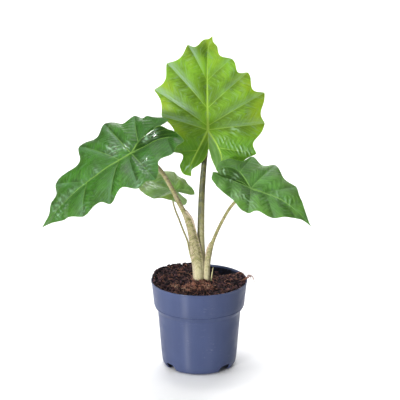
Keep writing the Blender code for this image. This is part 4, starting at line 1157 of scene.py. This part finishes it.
def strip(name, leaf, half, start, end, root, relief, rows, power):
    """A strip of the blade from a rib to a margin, with what both kinds of strip share.

    Rows are closer near the rib, by a power of the share. The height is slow swells, dimples and puckers,
    and the rib, which grows thinner from the stalk to its end, stands up in a shallow valley. The pale line
    on it is as wide as the rib, fainter where it is thin, and on a lobe half as wide and gone past the
    half's pale share. "behind" is 0 at the stalk and 1 from LOBE_REACH behind it.
    """
    s = (np.linspace(0, 1, rows + 1) ** power)[None, :]
    flat = start[:, None] + (end - start)[:, None] * s[..., None]
    u, v = flat[..., 0], flat[..., 1]
    long = np.linalg.norm(end - start, axis=1)[:, None]
    rib = s * long * SLANT
    size = 1 - 0.85 * np.clip(np.abs(root) / np.where(root >= 0, leaf["spine"][-1][0], 1.0), 0, 1)
    swells = 0.65 * soft_noise(u, v, 17.0, 3) + 0.30 * soft_noise(u, v, 6.5, 4)
    swells = swells + 0.07 * soft_noise(u, v, 2.8, 6)
    wrinkles, wet, crest = pucker(name, flat)
    valley = size * (0.50 * bell(rib, 1.2) - 0.9 * bell(rib, 4.5))
    faded = np.where(root < 0, np.clip((half["pale"] + root) / 0.15, 0, 1), 1.0)
    wide = 0.3 + leaf["midrib"] * np.where(root < 0, 0.5, 1.0) * size
    return s, flat, dict(
        h=relief * (swells + wrinkles - 0.25) + valley, below=RIB_DEPTH * size * bell(rib, 1.5),
        line=np.exp(-((rib / wide) ** 4)) * np.clip(1.8 * size, 0, 1) * faded, rib=rib, edge=(1 - s) * long,
        chevron=s * long, wet=wet, crest=crest, behind=np.clip(-u / LOBE_REACH, 0, 1))


def blade_strips(name, leaf, settings):
    """The blade's upper face: strips from the ribs to the margin and from the lobes' ribs to the sinus.

    Its height is the quilting, a squared sine between two veins times a sine from rib to margin, with the
    margin's wave; veins lie in shallow grooves with a fine ridge, and small ripples follow the side veins.
    """
    for half in leaf["halves"]:
        t, margin, root, on_rib, near, far, strong = blade_columns(leaf, half, settings.columns)
        t, root, strong = t[:, None], root[:, None], strong[:, None]
        relief = np.clip(np.linalg.norm(margin - on_rib, axis=1)[:, None] / FULL_RELIEF, 0, 1)
        s, flat, marks = strip(name, leaf, half, on_rib, margin, root, relief, settings.rows, ROW_POWER)
        rib, edge = marks["rib"], marks["edge"]
        width = near[:, None] * (1 - s) + far[:, None] * s
        vein = np.minimum(t, 1 - t) * width
        chevron = marks["chevron"] - CHEVRON * vein
        ridge = strong * bell(vein, 0.75)
        h = leaf["quilt"] * np.sin(math.pi * t) ** 2 * np.sin(math.pi * s)
        h = h + half["edge"] * s**2 * np.cos(2 * math.pi * t)
        h = h + 0.8 * strong * (1 - bell(vein, 2.6)) * np.sin(math.pi * np.clip(s * 1.05, 0, 1))
        h = h + 0.20 * ridge * (1 - 0.7 * s)
        ripple = 0.17 * np.sin(2 * math.pi * chevron / RIPPLE_SPACING)
        h = h + ripple * np.clip(vein / 3, 0, 1) * np.clip(edge / 6, 0, 1)
        marks["h"] += relief * h
        marks["below"] = marks["below"] + VEIN_DEPTH * ridge * (1 - s) ** 0.7 * relief
        marks["line"] = np.maximum(marks["line"], 0.85 * strong * bell(vein, 0.5) * (1 - s) ** 0.8)
        # The mask of the painted grey sheen beside each vein, away from the rib.
        veil = np.clip((10 - (1 - t) * width) / 9, 0, 1) * np.clip((rib - 5) / 23, 0, 1)
        # deep is the strength of painted shade near a lobe's rib.
        marks.update(vein=vein, after=t * width, chevron=chevron, veil=half.get("veil", 1.0) * veil,
                     deep=0.40 * half["deep"] * (root < 0) * bell(rib, 11.0))
        yield flat, marks, half["side"] < 0

        lobe = np.nonzero(root < 0)[0]
        pick = np.append(lobe[0] - 1, lobe)
        root = root[pick]
        inner, lift = inner_points(half, root[:, 0])
        s, flat, marks = strip(name, leaf, half, on_rib[pick], inner, root, relief[pick],
                               settings.lobe_rows, LOBE_ROW_POWER)
        rib = marks["rib"]
        marks["h"] += lift * s**2
        fold = np.sin(math.pi * np.clip(-root * 1.05, 0, 1)) ** 0.6
        # On a lobe strip, deep is painted shade in the lobe's fold, and the web's sheen is painted.
        marks.update(vein=rib + LOBE_VEIN, after=rib + LOBE_VEIN,
                     veil=half.get("web", 0.0) * np.clip(rib / 2, 0, 1),
                     deep=half["deep"] * np.clip(rib / 1.5, 0, 1) * fold)
        yield flat, marks, half["side"] > 0


def make_blade(key, leaf, settings):
    """Joins the strips to one sheet, and gives it a lower face: each point moved against the sheet's normal
    by the blade's thickness and the ribs' depth below it, with a narrow wall all round the margin. It also
    gives each face's material: 0 above and on the wall, 1 below, and 2 where a lobe is folded, which is a
    darker copy of the upper look and so painted shade."""
    name = "blade_" + key + "_skin"
    points, faces, values = [], [], {}
    first = 0
    for flat, marks, flip in blade_strips(key, leaf, settings):
        columns, rows = flat.shape[:2]
        points.append(blade_place(leaf, flat[..., 0], flat[..., 1], marks.pop("h")).reshape(-1, 3))
        faces.append(grid_faces(columns, rows, first=first, flip=not flip))
        for mark, value in marks.items():
            values.setdefault(mark, []).append(np.broadcast_to(value, (columns, rows)).ravel())
        first += columns * rows
    values = {mark: np.concatenate(value) for mark, value in values.items()}
    sheet = fill_mesh(name, np.concatenate(points), np.concatenate(faces), **values)
    clean(sheet, SEAM, triangles=True, outwards=False)
    count = len(sheet.vertices)
    place = read(sheet.vertices, "co", 3) / MM
    kept = {mark: read(sheet.attributes[mark].data, "value") for mark in values}
    corners = unfolded(read(sheet.loops, "vertex_index", kind=np.int64).reshape(-1, 3))
    side = np.cross(place[corners[:, 1]] - place[corners[:, 0]], place[corners[:, 2]] - place[corners[:, 0]])
    if (side.sum(axis=0) @ blade_frame(leaf)[2]) < 0:
        corners, side = corners[:, ::-1], -side
    normal = np.zeros((count, 3))
    for corner in range(3):
        np.add.at(normal, corners[:, corner], side)
    deep = settings.thickness * np.clip(kept["edge"] / THIN_WIDTH, THIN_SHARE, 1.0) + kept["below"]
    lower = place - unit(normal) * deep[:, None]
    edges = np.concatenate([corners[:, [0, 1]], corners[:, [1, 2]], corners[:, [2, 0]]])
    pair = edges.min(axis=1) * count + edges.max(axis=1)
    _, where, times = np.unique(pair, return_index=True, return_counts=True)
    rim = edges[where[times == 1]]
    wall = np.stack([rim[:, 1], rim[:, 0], rim[:, 0] + count, rim[:, 1] + count], -1)
    solid = fill_mesh(name, np.concatenate([place, lower]),
                      corners.tolist() + (corners[:, ::-1] + count).tolist() + wall.tolist(),
                      **{mark: np.tile(value, 2) for mark, value in kept.items()})
    index = np.zeros(len(solid.polygons), np.int32)
    index[:len(corners)] = 2 * (kept["deep"][corners].mean(axis=1) > 0.5)
    index[len(corners):2 * len(corners)] = 1
    smooth(solid, 55)
    bpy.data.meshes.remove(sheet)
    return solid, index


def blade_look(name, flesh, vein, painted_sheen_strength, veil, valley, yellow, grain, shine, gloss, through_light,
               lobes=0.0, stroke_sheen=0.62, specular=0.22, under=False):
    """Leaf skin: pale ribs and veins, streaks and side veins in chevrons between them, a fine net of cells,
    cloudy colour that yellows near the margin, painted shade in a valley on each vein's stalk side and a
    painted grey sheen on its other side, painted shade in folds, gloss where the blade is puckered or folded
    with painted highlights on the crests, and light that comes through it."""
    s = Shader(name)
    place = s.place()
    rib, lateral, chevron, edge, line, painted_sheen_mask, after, deep, wet, crest, back = (
        s.attribute(key) for key in ("rib", "vein", "chevron", "edge", "line", "veil", "after", "deep", "wet",
                                     "crest", "behind"))
    net = s.cells(place, 620.0, "DISTANCE_TO_EDGE")
    row = s.math("ADD", chevron, s.times(s.math("SUBTRACT", s.noise(place, 60.0, 3.0), 0.5), 5.0))
    streaks = s.noise(s.combined(s.times(row, 0.55), s.times(lateral, 0.09)), 1.0, 5.0, 0.65)
    strokes = s.noise(s.combined(s.times(row, 0.16), s.times(lateral, 0.06)), 1.0, 5.0, 0.7)
    bands = s.noise(s.combined(lateral, s.times(rib, 0.14)), 0.55, 5.0, 0.7)
    clouds = s.noise(place, 30.0, 4.0, 0.6)
    s.tint = s.mix(s.span(clouds, 0.36, 0.64), scaled(flesh, 0.62), scaled(flesh, 1.34))
    yellowed = s.times(s.span(edge, 28.0, 4.0), s.span(s.noise(place, 34.0, 3.0), 0.36, 0.56))
    s.lay(scaled(flesh, 1.75, 1.25, 0.9), yellowed, yellow)
    lobed = s.times(back, lobes)
    s.lay(scaled(flesh, 0.58, 0.84, 0.68), lobed)
    s.lay(scaled(flesh, 1.6), s.span(streaks, 0.52, 0.66, 0.0, grain))
    s.lay(scaled(flesh, 0.5), s.span(streaks, 0.48, 0.34, 0.0, grain))
    # Painted shade: darker green in the valley on each vein's stalk side, patchy by noise.
    shaded = s.times(s.span(after, 7.5, 0.8), s.span(rib, 2.0, 14.0))
    shaded = s.times(shaded, s.span(s.noise(place, 70.0, 3.0), 0.32, 0.55))
    s.lay(scaled(flesh, 0.34), shaded, valley)
    # Painted sheen: grey-green colour laid beside the veins and in strokes, standing in for reflected light.
    painted_sheen_mask = s.times(painted_sheen_mask, s.span(bands, 0.38, 0.56, 0.35, 1.0))
    painted_sheen_mask = s.math("MAXIMUM", painted_sheen_mask, s.span(strokes, 0.50, 0.64, 0.0, stroke_sheen))
    s.lay(veil, s.times(painted_sheen_mask, s.span(lobed, 0.0, 1.0, 1.0, 0.4)), painted_sheen_strength)
    # Painted shade: dark green where a lobe folds and near a lobe's rib.
    s.lay(scaled(flesh, 0.26), deep, 0.92)
    s.lay(scaled(flesh, 0.5), wet, 0.35)
    # Painted highlight: pale grey-green on the puckers' crests.
    s.lay(scaled(veil, 2.1), crest, 0.75)
    side_veins = s.span(s.math("SINE", s.times(row, 2 * math.pi / SIDE_VEIN_SPACING)), 0.88, 1.0)
    side_veins = s.times(side_veins, s.span(lateral, 1.0, 3.5))
    s.lay(vein, side_veins, 0.22)
    s.lay(vein, s.span(net, 0.06, 0.0), 0.15)
    s.lay(vein, line)
    s.lay(vein, s.span(edge, 0.9, 0.2), 0.5)
    relief = s.bump(s.math("ADD", side_veins, s.times(streaks, 2.0)), 0.12, 0.6,
                    Normal=s.bump(s.span(net, 0.0, 0.10), 0.05, 0.35))
    coat = {} if under else dict(Coat_Weight=s.times(wet, gloss), Coat_Normal=relief, Coat_Roughness=0.11,
                                 Coat_IOR=1.6)
    rough = s.span(s.noise(place, 150.0, 4.0, 0.6), 0.3, 0.7, shine, shine + 0.12)
    s.done(rough, Normal=relief, Specular_IOR_Level=specular, **coat)
    glow = s.node("BsdfTranslucent", {}, s.mix(0.35, s.tint, (0.55, 0.75, 0.10)))
    both = s.node("MixShader", {}, through_light, s.base.outputs[0], glow.outputs[0])
    s.put(s.tree.nodes["Material Output"].inputs["Surface"], both.outputs[0])
    return s.material


# Stage

def soft_box(name, place, size, power, target):
    """A rectangular light, turned so that its -Z points at the target."""
    data = bpy.data.lights.new(name, "AREA")
    data.shape = "RECTANGLE"
    data.size, data.size_y = size
    data.energy = power
    light = bpy.data.objects.new(name, data)
    light.location = place
    x, y, z = np.array(target) - np.array(place)
    light.rotation_euler = (math.pi / 2 + math.atan2(z, math.hypot(x, y)), 0.0,
                            math.atan2(y, x) - math.pi / 2)
    light.visible_camera = False
    bpy.context.scene.collection.objects.link(light)


def floor_look(settings):
    s = Shader("pale_floor")
    s.tint = s.mix(s.noise(s.place(), 40.0, 2.0), scaled(settings.floor, 0.985), settings.floor)
    return s.done(0.9)


# Operators

class PLANT_OT_pot(bpy.types.Operator):
    """Moulded pot with its rim, upper band, feet and drain holes"""
    bl_idname = "plant.pot"
    bl_label = "Pot"

    def execute(self, context):
        settings = context.scene.pot_settings
        pot = add_object("pot_body", make_pot(settings), plastic_look(settings), inner_wall_shade_look(settings))
        drill(pot)
        # Faces of the inner wall get the second material, which is painted shade.
        pot.data.polygons.foreach_set("material_index", inner_wall(pot.data).astype(np.int32))
        smooth(pot.data, 28)
        stands_for(pot, "pot")
        return {"FINISHED"}


class PLANT_OT_soil(bpy.types.Operator):
    """Bed of peat with crumbs and coir fibres on it"""
    bl_idname = "plant.soil"
    bl_label = "Soil"

    def execute(self, context):
        settings = context.scene.soil_settings
        random = np.random.default_rng(settings.seed)
        bed, crumbs, fibres = (make(settings, random) for make in (make_soil, make_crumbs, make_fibres))
        for mesh in (bed, crumbs, fibres):
            mesh.shade_smooth()
        stands_for(add_object("soil_bed", bed, peat_look(settings, "peat")), "soil")
        stands_for(add_object("soil_crumbs", crumbs, peat_look(settings, "peat_crumb", 0.9)), slot="soil")
        stands_for(add_object("coir_fibres", fibres, fibre_look(settings)), slot="soil")
        return {"FINISHED"}


class PLANT_OT_stalks(bpy.types.Operator):
    """Leaf stalks with their sheaths, the dry scale beside them and the corm"""
    bl_idname = "plant.stalks"
    bl_label = "Stalks"

    def execute(self, context):
        settings = context.scene.stalk_settings
        pale, green = settings.pale, settings.green
        looks = {
            # For the upright stalk, 0.86 is the strength of the painted shade on its left side.
            "upright": (scaled(pale, 0.62), scaled(green, 0.105, 0.128, 0.11), 0.45, 0.86, 78.0, 135.0),
            "left": (scaled(pale, 0.82), scaled(pale, 0.62, 0.57, 0.62), 0.80),
            "right": (scaled(pale, 0.76), scaled(green, 0.85), 0.75),
            "small": (scaled(pale, 0.72, 0.74, 0.64), scaled(green, 0.80), 0.55),
        }
        for key, look in looks.items():
            name = "petiole_" + key
            mesh = make_stalk(name + "_skin", stalk_path(key), settings, key)
            stands_for(add_object(name + "_skin", mesh, stalk_look(settings, name, *look)), name)
        scale = make_stalk("scale_leaf_skin", SCALE_LEAF, settings)
        stands_for(add_object("scale_leaf_skin", scale, dry_look()), "scale_leaf")
        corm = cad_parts["corm"]
        corm.data.materials.clear()
        corm.data.materials.append(corm_look())
        return {"FINISHED"}


class PLANT_OT_blades(bpy.types.Operator):
    """Four blades with their veins, quilting and waved margins"""
    bl_idname = "plant.blades"
    bl_label = "Blades"

    def execute(self, context):
        settings = context.scene.blade_settings
        for key, leaf in BLADES.items():
            name, flesh, finish = "blade_" + key, getattr(settings, key), BLADE_FINISH[key]
            matt = dict(finish, painted_sheen_strength=0.0, valley=0.2, shine=0.5, specular=0.16, under=True)
            paler = [0.85 * c + 0.02 for c in flesh]
            # The fold material is painted shade: the upper look at 0.8 of its colour, with little specular
            # and little light through it.
            folded = dict(finish, painted_sheen_strength=0.0, shine=0.5, specular=0.04, through_light=0.04)
            mesh, index = make_blade(key, leaf, settings)
            made = add_object(name + "_skin", mesh, blade_look(name + "_upper", flesh, **finish),
                              blade_look(name + "_lower", paler, **matt),
                              blade_look(name + "_fold", scaled(flesh, 0.8), **folded))
            mesh.polygons.foreach_set("material_index", index)
            stands_for(made, name)
        return {"FINISHED"}


class PLANT_OT_stage(bpy.types.Operator):
    """Pale floor, soft lights and the camera"""
    bl_idname = "plant.stage"
    bl_label = "Stage"

    def execute(self, context):
        settings, scene = context.scene.stage_settings, context.scene
        square = [(x * FLOOR_REACH, y * FLOOR_REACH, 0) for x, y in ((-1, -1), (1, -1), (1, 1), (-1, 1))]
        floor = add_object("floor", fill_mesh("floor", square, [range(4)]), floor_look(settings))
        floor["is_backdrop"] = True
        scene.world = bpy.data.worlds.new("even_light")
        scene.world.use_nodes = True
        background = scene.world.node_tree.nodes["Background"]
        background.inputs["Color"].default_value = (1.0, 1.0, 1.0, 1.0)
        background.inputs["Strength"].default_value = settings.ambient
        for light in LIGHTS:
            soft_box(*light)
        lens = bpy.data.cameras.new("view")
        lens.lens = settings.lens
        lens.sensor_width = 36.0
        lens.clip_end = 100.0
        camera = bpy.data.objects.new("view", lens)
        camera.location = settings.eye
        camera.rotation_euler = (math.pi / 2 - settings.tilt, 0.0, 0.0)
        scene.collection.objects.link(camera)
        scene.camera = camera
        scene.view_settings.view_transform = "Standard"
        return {"FINISHED"}


STEPS = (
    (PLANT_OT_pot, "pot_settings", PotSettings), (PLANT_OT_soil, "soil_settings", SoilSettings),
    (PLANT_OT_stalks, "stalk_settings", StalkSettings), (PLANT_OT_blades, "blade_settings", BladeSettings),
    (PLANT_OT_stage, "stage_settings", StageSettings),
)


class PLANT_PT_panel(bpy.types.Panel):
    """Sizes, colours and steps of the potted plant"""
    bl_label = "Potted plant"
    bl_space_type = "VIEW_3D"
    bl_region_type = "UI"
    bl_category = "Plant"

    def draw(self, context):
        for operator, name, group in STEPS:
            self.layout.operator(operator.bl_idname)
            for key in group.__annotations__:
                self.layout.prop(getattr(context.scene, name), key)


def register():
    for operator, name, group in STEPS:
        bpy.utils.register_class(group)
        setattr(bpy.types.Scene, name, PointerProperty(type=group))
        bpy.utils.register_class(operator)
    bpy.utils.register_class(PLANT_PT_panel)


def unregister():
    bpy.utils.unregister_class(PLANT_PT_panel)
    for operator, name, group in reversed(STEPS):
        bpy.utils.unregister_class(operator)
        delattr(bpy.types.Scene, name)
        bpy.utils.unregister_class(group)


def corners(box):
    return [[float(c) for c in corner] for corner in box]


def main():
    register()
    bpy.ops.plant.pot()
    bpy.ops.plant.soil()
    bpy.ops.plant.stalks()
    bpy.ops.plant.blades()
    bpy.ops.plant.stage()
    {"cad": corners(cad_box), "visual": corners(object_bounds())}


if __name__ == "__main__":
    main()
